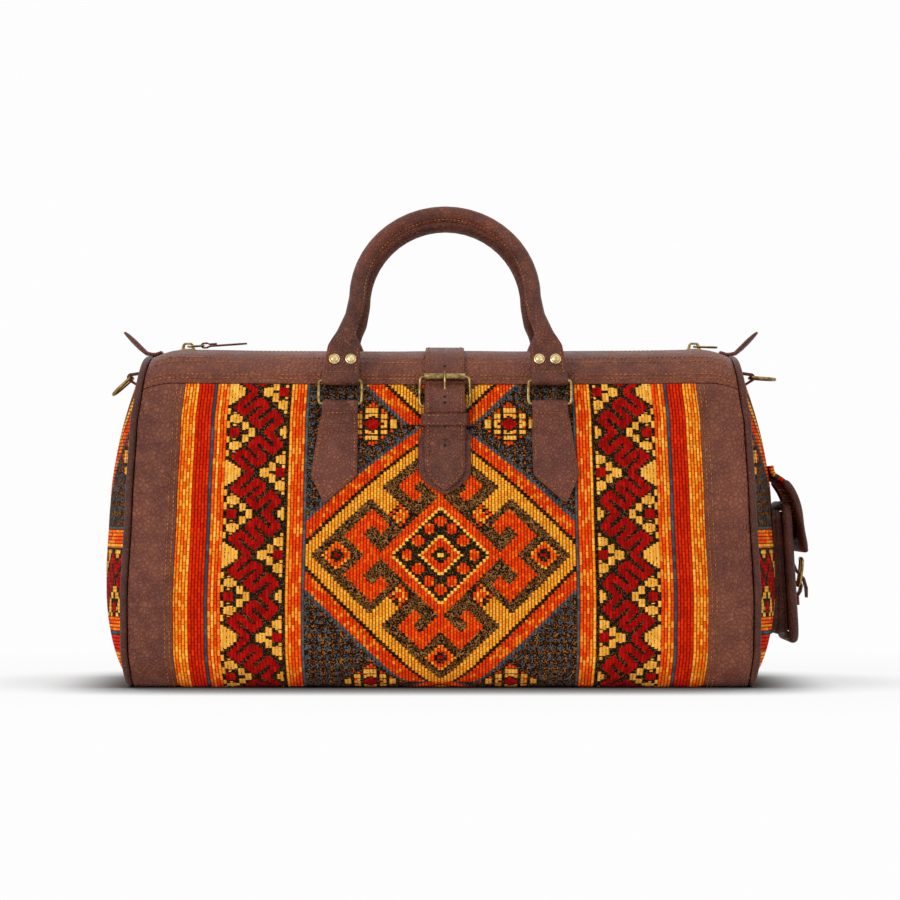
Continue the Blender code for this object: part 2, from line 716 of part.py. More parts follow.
def patch(name, side, mirror):
    """A pointed leather patch whose top folds over the lower bar of a ring."""
    bar_v = run_at(RING_Z)
    bar_w = SEAT_GAP * 2 + PATCH_T + RING_WIRE_R
    turn_r = RING_WIRE_R + SEAT_GAP + PATCH_T / 2
    low_w = SEAT_GAP + PATCH_T / 2
    over_w = low_w + PATCH_T + SEAT_GAP
    path = [(bar_v - PATCH_LENGTH, low_w), (bar_v - PATCH_LENGTH + PATCH_TIP * 0.5, low_w),
            (bar_v - PATCH_LENGTH + PATCH_TIP, low_w), (bar_v - 0.034, low_w),
            (bar_v - 0.024, low_w + 0.0004), (bar_v - 0.0185, over_w), (bar_v - 0.010, over_w),
            (bar_v - 0.005, bar_w + turn_r * 0.75)]
    path += [(bar_v + r, bar_w + t) for r, t in arc((0.0, 0.0), turn_r, 90, -90, 6)]
    path += [(bar_v - 0.006, low_w), (bar_v - PATCH_TAIL, low_w)]
    halves = []
    for v, w in path:
        down = bar_v - v
        left = -PATCH_HALF
        right = PATCH_HALF
        if down > 0.012:
            left = -lerp(PATCH_HALF + 0.0015, PATCH_HALF + PATCH_FLARE, (down - 0.012) / (PATCH_LENGTH - 0.012))
            right = PATCH_HALF + 0.0005
        halves.append((left, right))
    tip = (-0.0125, -0.0095)
    halves[0] = tip
    halves[1] = (lerp(halves[2][0], tip[0], 0.5), lerp(halves[2][1], tip[1], 0.5))
    if mirror:
        halves = [(-right, -left) for left, right in halves]
    run = side_frame(side)
    shift = (FITTING_SHIFT + (HANDLE_SPREAD if mirror else -HANDLE_SPREAD)) / reach(RING_Z)
    rings = ribbon_rings(path, PATCH_T, halves, lambda x, v, w: skin(x, run(v), w), shift)
    new_part(name, loft(rings), (STRAP_LEATHER,))


def ring_frame(side):
    """Middle of a ring's lower bar, and the ways up and out of its plane."""
    bar_v = run_at(RING_Z)
    bar_w = SEAT_GAP * 2 + PATCH_T + RING_WIRE_R
    low = skin(HANDLE_SPREAD / reach(RING_Z), bar_v, bar_w)
    low.x = FITTING_SHIFT
    lean = math.radians(RING_LEAN)
    up = Vector((0.0, math.sin(lean), math.cos(lean)))
    if side < 0:
        low.y = -low.y
        up.y = -up.y
    return low, up


def handle_frame(side):
    """Middle of the upper bars, and the ways up the handle and out of its plane."""
    low, up = ring_frame(side)
    origin = low + up * (RING_HEIGHT - 2 * RING_WIRE_R)
    lean = math.radians(HANDLE_LEAN)
    rise = Vector((0.0, side * math.sin(lean), math.cos(lean)))
    out = Vector((0.0, -side * math.cos(lean), math.sin(lean)))
    return origin, rise, out


def ring(name, side, x):
    """A rectangular brass ring, turning on its lower bar."""
    low, up = ring_frame(side)
    tall = RING_HEIGHT - 2 * RING_WIRE_R
    points = []
    for px, py in round_box(RING_WIDTH - 2 * RING_WIRE_R, tall, 0.0028, 2):
        points.append(low + Vector((x, 0.0, 0.0)) + Vector((px, 0.0, 0.0)) + up * (py + tall / 2))
    wire(name, points, RING_WIRE_R, BRASS, low + Vector((x, 0.0, 0.0)), resolution=1)


def handle(name, side):
    """A rolled handle whose flat ends fold round the upper bars of its rings."""
    origin, rise, out = handle_frame(side)

    def place(x, s, w):
        return origin + Vector((x, 0.0, 0.0)) + rise * s + out * w

    lay = TAB_T / 2 + SEAT_GAP / 2
    turn_r = RING_WIRE_R + SEAT_GAP + TAB_T / 2
    flat = [(TAB_LENGTH - 0.002, -lay, TAB_HALF - 0.0015), (0.012, -lay, TAB_HALF - 0.0006),
            (0.0045, -turn_r * 0.86, TAB_HALF)]
    flat += [(r, -t, TAB_HALF) for r, t in arc((0.0, 0.0), turn_r, 90, 270, 6)]
    flat += [(0.0045, turn_r * 0.86, TAB_HALF), (0.012, lay, TAB_HALF - 0.0006),
             (0.022, lay, TAB_HALF - 0.001), (TAB_LENGTH, lay + 0.0003, TAB_HALF - 0.0015)]
    rings = []
    for end in (-1, 1):
        rows = []
        for i, (s, w, half) in enumerate(flat):
            before = flat[max(i - 1, 0)]
            after = flat[min(i + 1, len(flat) - 1)]
            run = Vector((after[0] - before[0], after[1] - before[1])).normalized()
            ds = run.y * TAB_T / 2
            dw = -run.x * TAB_T / 2
            middle = lerp(HANDLE_SPREAD, HANDLE_SPREAD - 0.004, max(0.0, s) / TAB_NECK)
            spots = ((half, 0), (half, 1), (0, 1), (-half, 1), (-half, 0), (-half, -1), (0, -1), (half, -1))
            rows.append([place(end * (middle + x * end), s + ds * t, w + dw * t) for x, t in spots])
        neck = lerp(TAB_HALF, HANDLE_R, 0.68)
        middle = lerp(HANDLE_SPREAD, HANDLE_HALF + HANDLE_R, 0.6)
        spots = []
        for k in range(8):
            a = math.radians(-45.0 * k)
            spots.append(place(end * middle + neck * math.cos(a), TAB_LENGTH + 0.006,
                               lay * 0.4 + 0.0042 * math.sin(a)))
        rows.append(spots)
        rings.append(rows)
    arch = []
    steps = 12
    foot = HANDLE_SPREAD - 0.0045
    legs = [(-foot, TAB_NECK + 0.002), (-(HANDLE_HALF + 0.0025), lerp(TAB_NECK, HANDLE_LEG, 0.55))]
    centre = legs + [(-HANDLE_HALF * math.cos(math.pi * k / steps),
                      HANDLE_LEG + (HANDLE_RISE - HANDLE_LEG) * math.sin(math.pi * k / steps))
                     for k in range(steps + 1)] + [(-x, s) for x, s in reversed(legs)]
    for i, (x, s) in enumerate(centre):
        before = centre[max(i - 1, 0)]
        after = centre[min(i + 1, len(centre) - 1)]
        run = Vector((after[0] - before[0], after[1] - before[1])).normalized()
        spots = []
        for k in range(8):
            a = math.radians(-45.0 * k)
            across = HANDLE_R * math.cos(a)
            spots.append(place(x + across * run.y, s - across * run.x, HANDLE_R * math.sin(a)))
        arch.append(spots)
    left = rings[0]
    right = [row for row in reversed(rings[1])]
    # the right end runs from the neck to its free tail, so its sections are turned about
    turned = []
    for row in right:
        order = [4, 3, 2, 1, 0, 7, 6, 5]
        turned.append([row[k] for k in order])
    bm = loft(left + arch + turned)
    part = new_part(name, bm, (HANDLE_LEATHER,), origin)
    tool = bmesh.new()
    for sx in (-1, 1):
        for sr in (-1, 1):
            x = sx * HANDLE_SPREAD - sx * 0.0018 + sr * RIVET_SPREAD
            hole = [[place(x + (RIVET_SHAFT_R + SEAT_GAP) * math.cos(a), RIVET_RISE + (RIVET_SHAFT_R + SEAT_GAP)
                           * math.sin(a), w) for a in [math.pi * k / 3 for k in range(6)]] for w in (-0.006, 0.006)]
            rows = [[tool.verts.new(p) for p in row] for row in hole]
            for k in range(6):
                tool.faces.new((rows[0][k], rows[0][(k + 1) % 6], rows[1][(k + 1) % 6], rows[1][k]))
            tool.faces.new(rows[0])
            tool.faces.new(rows[1])
    cut(part, new_cutter(name + "_holes", tool))
    for sx, where in ((-1, "left"), (1, "right")):
        for sr, which in ((-1, "a"), (1, "b")):
            x = sx * HANDLE_SPREAD - sx * 0.0018 + sr * RIVET_SPREAD
            rivet(name.replace("handle", where + "_rivet_" + which), place, x, origin)
    return part


def rivet(name, place, x, pivot):
    """A domed brass rivet through both layers of a tab."""
    face = TAB_T + SEAT_GAP * 1.5
    stack = ((0.40 * RIVET_R, face + RIVET_DOME), (0.80 * RIVET_R, face + RIVET_DOME * 0.68),
             (RIVET_R, face), (RIVET_SHAFT_R, face),
             (RIVET_SHAFT_R, -face), (RIVET_BACK_R, -face), (RIVET_BACK_R, -face - RIVET_BACK_T))
    rings = []
    for radius, w in stack:
        row = []
        for k in range(8):
            a = math.pi * k / 4 + math.pi / 8
            row.append(place(x + radius * math.cos(a), RIVET_RISE + radius * math.sin(a), w))
        rings.append(row)
    new_part(name, loft(rings), (BRASS,), pivot)


def strap_marks():
    """Runs of the buckle's hinge bar and roller on the front wall, and the layers over them."""
    hinge_v = run_at(BUCKLE_Z)
    hinge_w = 2 * SEAT_GAP + KEEPER_T + HOLDER_T + SEAT_GAP + BUCKLE_WIRE_R
    roller_v = hinge_v + BUCKLE_HEIGHT - 2 * BUCKLE_WIRE_R
    roller_w = 2 * SEAT_GAP + STRAP_T + ROLLER_R
    return hinge_v, hinge_w, roller_v, roller_w


def holder():
    """The wide pointed strap sewn to the front, folded round the hinge bar of the buckle."""
    hinge_v, hinge_w, roller_v, roller_w = strap_marks()
    tip_v = run_at(HOLDER_TIP_Z)
    low = SEAT_GAP + HOLDER_T / 2
    high = low + KEEPER_T + SEAT_GAP
    turn_r = BUCKLE_WIRE_R + SEAT_GAP + HOLDER_T / 2
    over = high + HOLDER_T + SEAT_GAP
    half = HOLDER_WIDTH / 2
    path = [(tip_v, low), (tip_v + HOLDER_POINT * 0.3, low), (tip_v + HOLDER_POINT * 0.65, low),
            (tip_v + HOLDER_POINT, low), (hinge_v - 0.024, low), (hinge_v - 0.0175, high),
            (hinge_v - 0.006, high)]
    path += [(hinge_v + r, hinge_w + t) for r, t in arc((0.0, 0.0), turn_r, -90, 90, 6)]
    path += [(hinge_v - 0.0030, hinge_w + turn_r * 0.80), (hinge_v - 0.0062, over + 0.0003),
             (hinge_v - HOLDER_TAIL, over)]
    halves = [(-0.0018, 0.0018), (-half * 0.46, half * 0.46), (-half * 0.81, half * 0.81)]
    halves += [(-half, half)] * 2
    while len(halves) < len(path):
        halves.append((-0.0176, 0.0176))
    part = new_part("buckle_strap", loft(ribbon_rings(path, HOLDER_T, halves, skin, FITTING_SHIFT)),
                    (STRAP_LEATHER,))
    cut(part, box_cutter("buckle_strap_slot", lambda x, y, z: skin(
        FITTING_SHIFT + x * PRONG_SLOT, hinge_v + 0.001 + y * 0.0085, high + 0.005 + z * 0.009)))


def closing_strap():
    """The strap from the back, over the zip, through the buckle and the keeper."""
    hinge_v, hinge_w, roller_v, roller_w = strap_marks()
    tip_v = run_at(STRAP_TIP_Z)
    low = SEAT_GAP + STRAP_T / 2
    on_holder = low + HOLDER_T + SEAT_GAP
    over_tail = low + 2 * HOLDER_T + KEEPER_T + 3 * SEAT_GAP
    over_bar = hinge_w + BUCKLE_WIRE_R + HOLDER_T + 2 * SEAT_GAP + STRAP_T / 2
    span = roller_v - hinge_v
    half = STRAP_WIDTH / 2
    path = [(tip_v, on_holder), (tip_v + STRAP_POINT * 0.28, on_holder),
            (tip_v + STRAP_POINT * 0.6, on_holder), (tip_v + STRAP_POINT, on_holder),
            (hinge_v - 0.029, on_holder), (hinge_v - HOLDER_TAIL - 0.0015, over_tail),
            (hinge_v - 0.0070, over_tail + 0.0004), (hinge_v - 0.0034, over_bar - 0.0006),
            (hinge_v, over_bar + 0.0003),
            (hinge_v + span * 0.34, over_bar - 0.0002), (hinge_v + span * 0.52, over_bar - 0.0022),
            (hinge_v + span * 0.66, low + 0.0042), (hinge_v + span * 0.80, low + 0.0008),
            (roller_v, low)]
    halves = [(-0.0015, 0.0015), (-half * 0.48, half * 0.48), (-half * 0.83, half * 0.83)]
    stop = HALF_GIRTH + STRAP_BACK
    over = TOP_CUTS[1:]
    path += [(v, low) for v in over + [HALF_GIRTH] + other_side(over)]
    path += [(v, low) for v in other_side([lerp(WALL_V, SHOULDER_V, 0.75), SHOULDER_V, TOP_SEAM])]
    path.append((stop, low))
    while len(halves) < len(path):
        halves.append((-half, half))
    part = new_part("closing_strap", loft(ribbon_rings(path, STRAP_T, halves, skin, FITTING_SHIFT)),
                    (STRAP_LEATHER,))
    middle = hinge_v + span * 0.43
    cut(part, box_cutter("closing_strap_slot", lambda x, y, z: skin(
        FITTING_SHIFT + x * PRONG_SLOT * 0.9, middle + y * span * 0.31, low + 0.007 + z * 0.011)))


def keeper():
    """The closed leather loop round both straps."""
    hinge_v, hinge_w, roller_v, roller_w = strap_marks()
    v = hinge_v - KEEPER_DROP - KEEPER_WIDTH / 2
    back = SEAT_GAP + KEEPER_T / 2
    front = 5 * SEAT_GAP + KEEPER_T * 1.5 + 2 * HOLDER_T + STRAP_T + 0.0011
    half = 0.0176 + SEAT_GAP + KEEPER_T / 2 + 0.0008
    loop = [(half, back + 0.001), (half - 0.001, back), (-half + 0.001, back), (-half, back + 0.001),
            (-half, front - 0.002), (-half + 0.002, front), (half - 0.002, front), (half, front - 0.002)]
    rings = []
    for i, (x, w) in enumerate(loop):
        ax, aw = loop[i - 1]
        bx, bw = loop[(i + 1) % len(loop)]
        first = Vector((x - ax, w - aw)).normalized()
        second = Vector((bx - x, bw - w)).normalized()
        across = Vector((first.y + second.y, -first.x - second.x))
        across = across.normalized() * (KEEPER_T / 2 / max(0.5, math.sqrt((1 + first.dot(second)) / 2)))
        ring_points = []
        for sign, dv in ((1, -1), (1, 1), (-1, 1), (-1, -1)):
            ring_points.append(skin(FITTING_SHIFT + x + across.x * sign, v + dv * KEEPER_WIDTH / 2,
                                    w + across.y * sign))
        rings.append(ring_points)
    new_part("strap_keeper", loft(rings, closed=True), (STRAP_LEATHER,))


def buckle():
    """The brass frame, its roller on the upper bar and the prong on the hinge bar."""
    hinge_v, hinge_w, roller_v, roller_w = strap_marks()
    hinge = skin(FITTING_SHIFT, hinge_v, hinge_w)
    roller_at = skin(FITTING_SHIFT, roller_v, roller_w)
    up = (roller_at - hinge).normalized()
    tall = (roller_at - hinge).length
    side = Vector((1.0, 0.0, 0.0))
    out = side.cross(up).normalized()
    points = []
    for px, py in round_box(BUCKLE_WIDTH - 2 * BUCKLE_WIRE_R, tall, 0.0036, 2):
        points.append(hinge + side * px + up * (py + tall / 2))
    wire("buckle_frame", points, BUCKLE_WIRE_R, BRASS, resolution=1)
    rings = []
    for radius, x in ((ROLLER_R, -ROLLER_LENGTH / 2), (ROLLER_R, ROLLER_LENGTH / 2),
                      (ROLLER_BORE_R, ROLLER_LENGTH / 2), (ROLLER_BORE_R, -ROLLER_LENGTH / 2)):
        rings.append([roller_at + side * x + up * radius * math.cos(math.pi * k / 6)
                      + out * radius * math.sin(math.pi * k / 6) for k in range(12)])
    new_part("buckle_roller", loft(rings, closed=True), (BRASS,), roller_at)
    eye = BUCKLE_WIRE_R + SEAT_GAP + PRONG_R
    rest = ROLLER_R + SEAT_GAP + PRONG_R
    path = [hinge + up * r + out * t for r, t in arc((0.0, 0.0), eye, -215, 75, 9)]
    path.append(hinge + up * (tall * 0.55) + out * lerp(eye, rest, 0.5))
    path.append(hinge + up * tall + out * rest)
    path.append(hinge + up * (tall + 0.0040) + out * (rest - 0.0008))
    wire("buckle_prong", path, PRONG_R, BRASS, hinge, closed=False, resolution=1)


def plate_with_hole(name, outer, hole, depth, finish, place, pivot):
    """A side outline with one hole, as thick as depth, placed by a function of (x, y, z)."""
    curve = bpy.data.curves.new(name + "_outline", "CURVE")
    curve.dimensions = "2D"
    curve.fill_mode = "BOTH"
    curve.extrude = depth / 2
    for points in (outer, hole):
        spline = curve.splines.new("POLY")
        spline.points.add(len(points) - 1)
        for point, (x, y) in zip(spline.points, points):
            point.co = (x, y, 0.0, 1.0)
        spline.use_cyclic_u = True
    shaped = bpy.data.objects.new(name + "_outline", curve)
    BAG.objects.link(shaped)
    mesh = bpy.data.meshes.new_from_object(shaped.evaluated_get(bpy.context.evaluated_depsgraph_get()))
    bpy.data.objects.remove(shaped)
    bm = bmesh.new()
    bm.from_mesh(mesh)
    bmesh.ops.remove_doubles(bm, verts=bm.verts, dist=1e-6)
    for vert in bm.verts:
        vert.co = place(*vert.co)
    new_part(name, bm, (finish,), pivot)


def slider(name, side):
    """A zip slider with the bridge that carries its pull."""
    bottom = shape(SLIDER_X, HALF_GIRTH).z + CHAIN_TOP + SEAT_GAP
    middle = Vector((side * SLIDER_X, 0.0, bottom))
    half = SLIDER_LENGTH / 2
    outer = [(-half, 0.0), (half, 0.0), (half, SLIDER_PLATE * 0.7), (half - 0.001, SLIDER_PLATE),
             (0.0045, SLIDER_HEIGHT - 0.0015), (0.0028, SLIDER_HEIGHT), (-0.0028, SLIDER_HEIGHT),
             (-0.0045, SLIDER_HEIGHT - 0.0015), (-half + 0.001, SLIDER_PLATE), (-half, SLIDER_PLATE * 0.7)]
    hole = [(-0.0030, SLIDER_PLATE), (0.0030, SLIDER_PLATE), (0.0026, SLIDER_HEIGHT - BRIDGE_T - 0.0006),
            (0.0018, SLIDER_HEIGHT - BRIDGE_T), (-0.0018, SLIDER_HEIGHT - BRIDGE_T),
            (-0.0026, SLIDER_HEIGHT - BRIDGE_T - 0.0006)]
    plate_with_hole(name + "_slider", outer, hole, SLIDER_WIDTH, BRASS,
                    lambda x, y, z: middle + Vector((x, -z, y)), middle)
    eye = middle + Vector((0.0, 0.0, (SLIDER_PLATE + SLIDER_HEIGHT - BRIDGE_T) / 2))
    half_wide = SLIDER_WIDTH / 2 + SEAT_GAP + PULL_WIRE_R + 0.0006
    slope = math.radians(4.0 if side < 0 else -2.0)
    way = Vector((math.cos(slope), 0.0, math.sin(slope)))
    points = []
    long = LINK_LENGTH if side < 0 else RIGHT_LINK_LENGTH
    for px, py in round_box(long, 2 * half_wide, 0.0022, 2):
        points.append(eye + way * (px + long / 2) + Vector((0.0, py, 0.0)))
    wire(name + "_pull_link", points, PULL_WIRE_R, BRASS, eye, resolution=1)
    bar = eye + way * long
    lift = way.cross(Vector((0.0, -1.0, 0.0))).normalized()
    if side < 0:
        turn_r = PULL_WIRE_R + SEAT_GAP + PULL_T / 4
        thin = PULL_T / 2
        lay = thin / 2 + SEAT_GAP / 2
        path = [(0.011, -lay), (0.005, -lay), (0.0028, -turn_r)]
        path += arc((0.0, 0.0), turn_r, 270, 90, 6)
        path += [(0.0028, turn_r), (0.005, lay), (0.011, lay), (PULL_LENGTH - 0.006, lay), (PULL_LENGTH, lay)]
        halves = [0.0031] * 3 + [0.0031] * 7 + [0.0031, 0.0036, PULL_WIDTH / 2, PULL_WIDTH / 2, 0.0025]
        rings = []
        for i, (r, t) in enumerate(path):
            before = path[max(i - 1, 0)]
            after = path[min(i + 1, len(path) - 1)]
            run = Vector((after[0] - before[0], after[1] - before[1])).normalized()
            corners = []
            for sy, st in ((1, 1), (-1, 1), (-1, -1), (1, -1)):
                spot = bar + way * (r - run.y * st * thin / 2) + lift * (t + run.x * st * thin / 2)
                corners.append(spot + Vector((0.0, sy * halves[i], 0.0)))
            rings.append(corners)
        new_part(name + "_pull_tab", loft(rings), (STRAP_LEATHER,), eye)


def ear(name, side):
    """The leather tongue over the end of the zip: it crosses the piping and stands up and out."""
    lay = SEAT_GAP + EAR_T / 2
    band = [skin(x / reach(BODY_HEIGHT), HALF_GIRTH, lay) for x in (HALF_LENGTH - 0.0270, HALF_LENGTH - 0.0225)]
    welt = upright(HALF_LENGTH - PIPING_R, HALF_GIRTH, PIPING_R - PIPING_SINK + lay)
    path = [(p.x, p.z + 0.0002) for p in band] + [(welt.x, welt.z)]
    path += [(welt.x + EAR_RUN * k, welt.z + EAR_RISE * rise)
             for k, rise in ((0.22, 0.05), (0.45, 0.27), (0.72, 0.60), (0.92, 0.88), (1.0, 1.0))]
    halves = [1.0, 1.0, 1.0, 1.0, 0.94, 0.78, 0.58, 0.36]
    thick = [0.7, 1.0, 1.0, 1.0, 0.95, 0.85, 0.7, 0.55]
    rings = []
    for i, (x, z) in enumerate(path):
        before = path[max(i - 1, 0)]
        after = path[min(i + 1, len(path) - 1)]
        run = Vector((after[0] - before[0], after[1] - before[1])).normalized()
        half = EAR_WIDTH / 2 * halves[i]
        t = EAR_T / 2 * thick[i]
        corners = []
        for sy, st in ((0.9, 1), (-0.9, 1), (-1.0, 0), (-0.9, -1), (0.9, -1), (1.0, 0)):
            corners.append(Vector((side * (x - run.y * st * t), sy * half, z + run.x * st * t)))
        rings.append(corners)
    new_part(name + "_ear_tab", loft(rings), (STRAP_LEATHER,))


def d_ring(name, side, droop):
    """A brass D ring and the leather loop that holds it to the end of the bag."""
    face = end_x(0.0, D_RING_Z)
    bar_x = face + D_LOOP_REACH
    bar = Vector((side * bar_x, 0.0, D_RING_Z))
    a = math.radians(droop)
    way = Vector((side * math.cos(a), 0.0, math.sin(a)))
    half = D_RING_WIDTH / 2 - D_RING_WIRE_R
    points = [(-half + 0.003, 0.0), (half - 0.003, 0.0), (half - 0.0008, 0.0010), (half, 0.0035)]
    depth = D_RING_REACH - 2 * D_RING_WIRE_R
    for k in range(1, 8):
        b = math.pi * k / 8
        points.append((half * math.cos(b), depth * 0.45 + depth * 0.55 * math.sin(b)))
    points += [(-half, 0.0035), (-half + 0.0008, 0.0010)]
    wire(name + "_d_ring", [bar + Vector((0.0, y, 0.0)) + way * r for y, r in points], D_RING_WIRE_R, BRASS, bar)
    turn_r = D_RING_WIRE_R + SEAT_GAP + D_LOOP_T / 2
    lay = SEAT_GAP * 1.5 + D_LOOP_T / 2
    path = [(end_x(0.0, D_RING_Z + z) + lay, D_RING_Z + z) for z in (-0.0200, -0.0150, -0.0105)]
    path.append((end_x(0.0, D_RING_Z - 0.0065) + lay + 0.0020, D_RING_Z - 0.0062))
    path += [(bar_x + r, D_RING_Z + t) for r, t in arc((0.0, 0.0), turn_r, -70, 100, 6)]
    path.append((face + D_LOOP_T * 0.2, D_RING_Z + 0.0042))
    rings = []
    for i, (x, z) in enumerate(path):
        before = path[max(i - 1, 0)]
        after = path[min(i + 1, len(path) - 1)]
        run = Vector((after[0] - before[0], after[1] - before[1])).normalized()
        corners = []
        for sy, st in ((1, 1), (-1, 1), (-1, -1), (1, -1)):
            corners.append(Vector((side * (x + run.y * st * D_LOOP_T / 2), sy * D_LOOP_WIDTH / 2,
                                   z - run.x * st * D_LOOP_T / 2)))
        rings.append(corners)
    new_part(name + "_ring_loop", loft(rings), (STRAP_LEATHER,))


def pocket_x(z):
    """How far out the middle of the pocket's front stands at a height."""
    return lerp(POCKET_X_BOTTOM, POCKET_X_TOP, (z - POCKET_BOTTOM) / (POCKET_TOP - POCKET_BOTTOM))


def pocket():
    """The outer pocket on the right end: bellows, bound front, flap, tongue and buckle."""
    middle = (POCKET_BOTTOM + POCKET_TOP) / 2
    tall = POCKET_TOP - POCKET_BOTTOM
    rim = round_box(2 * (POCKET_HALF - POCKET_BINDING_R), tall - 2 * POCKET_BINDING_R, POCKET_CORNER, 3)
    points = [Vector((pocket_x(middle + z), y, middle + z)) for y, z in rim]
    wire("pocket_front_binding", points, POCKET_BINDING_R, PIPE_LEATHER, resolution=1)
    inset = POCKET_BINDING_R + 0.0005
    face = round_box(2 * (POCKET_HALF - POCKET_BINDING_R - inset), tall - 2 * POCKET_BINDING_R - 2 * inset,
                     POCKET_CORNER - inset + 0.0006, 3)
    rings = []
    for share, lift in ((1.0, 0.0), (0.75, 0.0022), (0.35, 0.0034)):
        rings.append([Vector((pocket_x(middle + z * share) + POCKET_FACE_T + lift - 0.0008, y * share,
                              middle + z * share)) for y, z in face])
    inner = [[Vector((p.x - POCKET_FACE_T, p.y, p.z)) for p in row] for row in rings]
    bm = loft(list(reversed(rings)) + inner)
    for item in bm.faces:
        y = item.calc_center_median().y
        item.material_index = 1 if abs(y) > 0.040 else 0
    new_part("pocket_front_panel", bm, KILIM)

    # bellows: down one side, under and up the other, open at the top
    path = []
    hy = POCKET_HALF - 0.0065
    low = POCKET_BOTTOM + 0.0060
    for y, z in ([(hy, POCKET_TOP - 0.006), (hy, lerp(low, POCKET_TOP, 0.66)), (hy, lerp(low, POCKET_TOP, 0.33))]
                 + arc((hy - 0.014, low + 0.014), 0.014, 0, -90, 3)
                 + [(hy / 3, low), (-hy / 3, low)]
                 + arc((-hy + 0.014, low + 0.014), 0.014, -90, -180, 3)
                 + [(-hy, lerp(low, POCKET_TOP, 0.33)), (-hy, lerp(low, POCKET_TOP, 0.66)), (-hy, POCKET_TOP - 0.006)]):
        path.append((y, z))
    bm = bmesh.new()
    rows = []
    for i, (y, z) in enumerate(path):
        ay, az = path[max(i - 1, 0)]
        by, bz = path[min(i + 1, len(path) - 1)]
        run = Vector((by - ay, bz - az)).normalized()
        inward = Vector((run.y, -run.x))
        near = end_x(y, z) + GUSSET_T / 2 + 2 * SEAT_GAP
        far = pocket_x(z) - POCKET_BINDING_R - 2 * SEAT_GAP
        row = []
        for share, fold in ((0.0, 0.0), (0.30, 1.0), (0.52, 0.2), (0.76, 0.9), (1.0, 0.0)):
            deep = GUSSET_FOLD * fold * min(1.0, (far - near) / 0.009)
            row.append(bm.verts.new(Vector((lerp(near, far, share), y + inward.x * deep, z + inward.y * deep))))
        rows.append(row)
    for a, b in zip(rows, rows[1:]):
        for k in range(4):
            bm.faces.new((a[k], a[k + 1], b[k + 1], b[k]))
    part = new_part("pocket_gusset", bm, (PIPE_LEATHER,))
    step = part.modifiers.new("leather", "SOLIDIFY")
    step.thickness = GUSSET_T
    step.offset = 0.0
    step.use_even_offset = False

    # flap: sewn to the end above the pocket, bent over and down in front of it
    run_points = []
    for rise in (0.0290, 0.0225):
        z = POCKET_TOP + rise
        run_points.append((end_x(0.0, z) + FLAP_T / 2 + 1.5 * SEAT_GAP, z))
    for rise, stand in ((0.0172, -0.0020), (0.0110, 0.0038), (0.0000, 0.0090), (-0.0150, 0.0124),
                        (-0.0350, 0.0158)):
        run_points.append((POCKET_X_TOP + stand, POCKET_TOP + rise))

    def flap_ring(i, half, thick, lift=0.0):
        x, z = run_points[i]
        before = run_points[max(i - 1, 0)]
        after = run_points[min(i + 1, len(run_points) - 1)]
        run = Vector((after[0] - before[0], after[1] - before[1])).normalized()
        out_x = -run.y
        out_z = run.x
        row = []
        for sy, st in ((1, 1), (0, 1), (-1, 1), (-1, -1), (0, -1), (1, -1)):
            bow = lift if sy == 0 else 0.0
            row.append(Vector((x + out_x * (st * thick / 2 + bow), sy * half, z + out_z * (st * thick / 2 + bow))))
        return row

    half = FLAP_HALF - FLAP_BINDING_R - 0.0006
    flap_half = half - FLAP_BINDING_R - 0.0007
    rings = [flap_ring(i, flap_half, FLAP_T, 0.0008) for i in range(len(run_points))]
    last = run_points[-1]
    bm = loft(rings)
    for item in bm.faces:
        spot = item.calc_center_median()
        item.material_index = 4 if 0.002 < spot.z - POCKET_TOP < 0.012 else 1
    new_part("pocket_flap", bm, KILIM)
    side_line = [(x, half, z) for x, z in run_points[2:]]
    corner = Vector((last[0] - run_points[-2][0], 0.0, last[1] - run_points[-2][1])).normalized()
    end = Vector((last[0], 0.0, last[1])) + corner * (FLAP_BINDING_R + 0.0006)
    edge = [Vector(p) for p in side_line[:-1]]
    edge.append(Vector((last[0], half, last[1])) - corner * 0.002)
    edge.append(end + Vector((0.0, half - 0.0007, 0.0)) - corner * 0.0020)
    edge.append(end + Vector((0.0, half - 0.0021, 0.0)) - corner * 0.0006)
    edge.append(end + Vector((0.0, half - 0.0060, 0.0)))
    loop = edge + [Vector((p.x, -p.y, p.z)) for p in reversed(edge)]
    wire("pocket_flap_binding", loop, FLAP_BINDING_R, PIPE_LEATHER, closed=False, resolution=1)

    # buckle: a chape on the front, the loop that swings in it, and the tongue from the flap
    def front(z, w):
        return pocket_x(z) + POCKET_FACE_T + 0.0030 + w

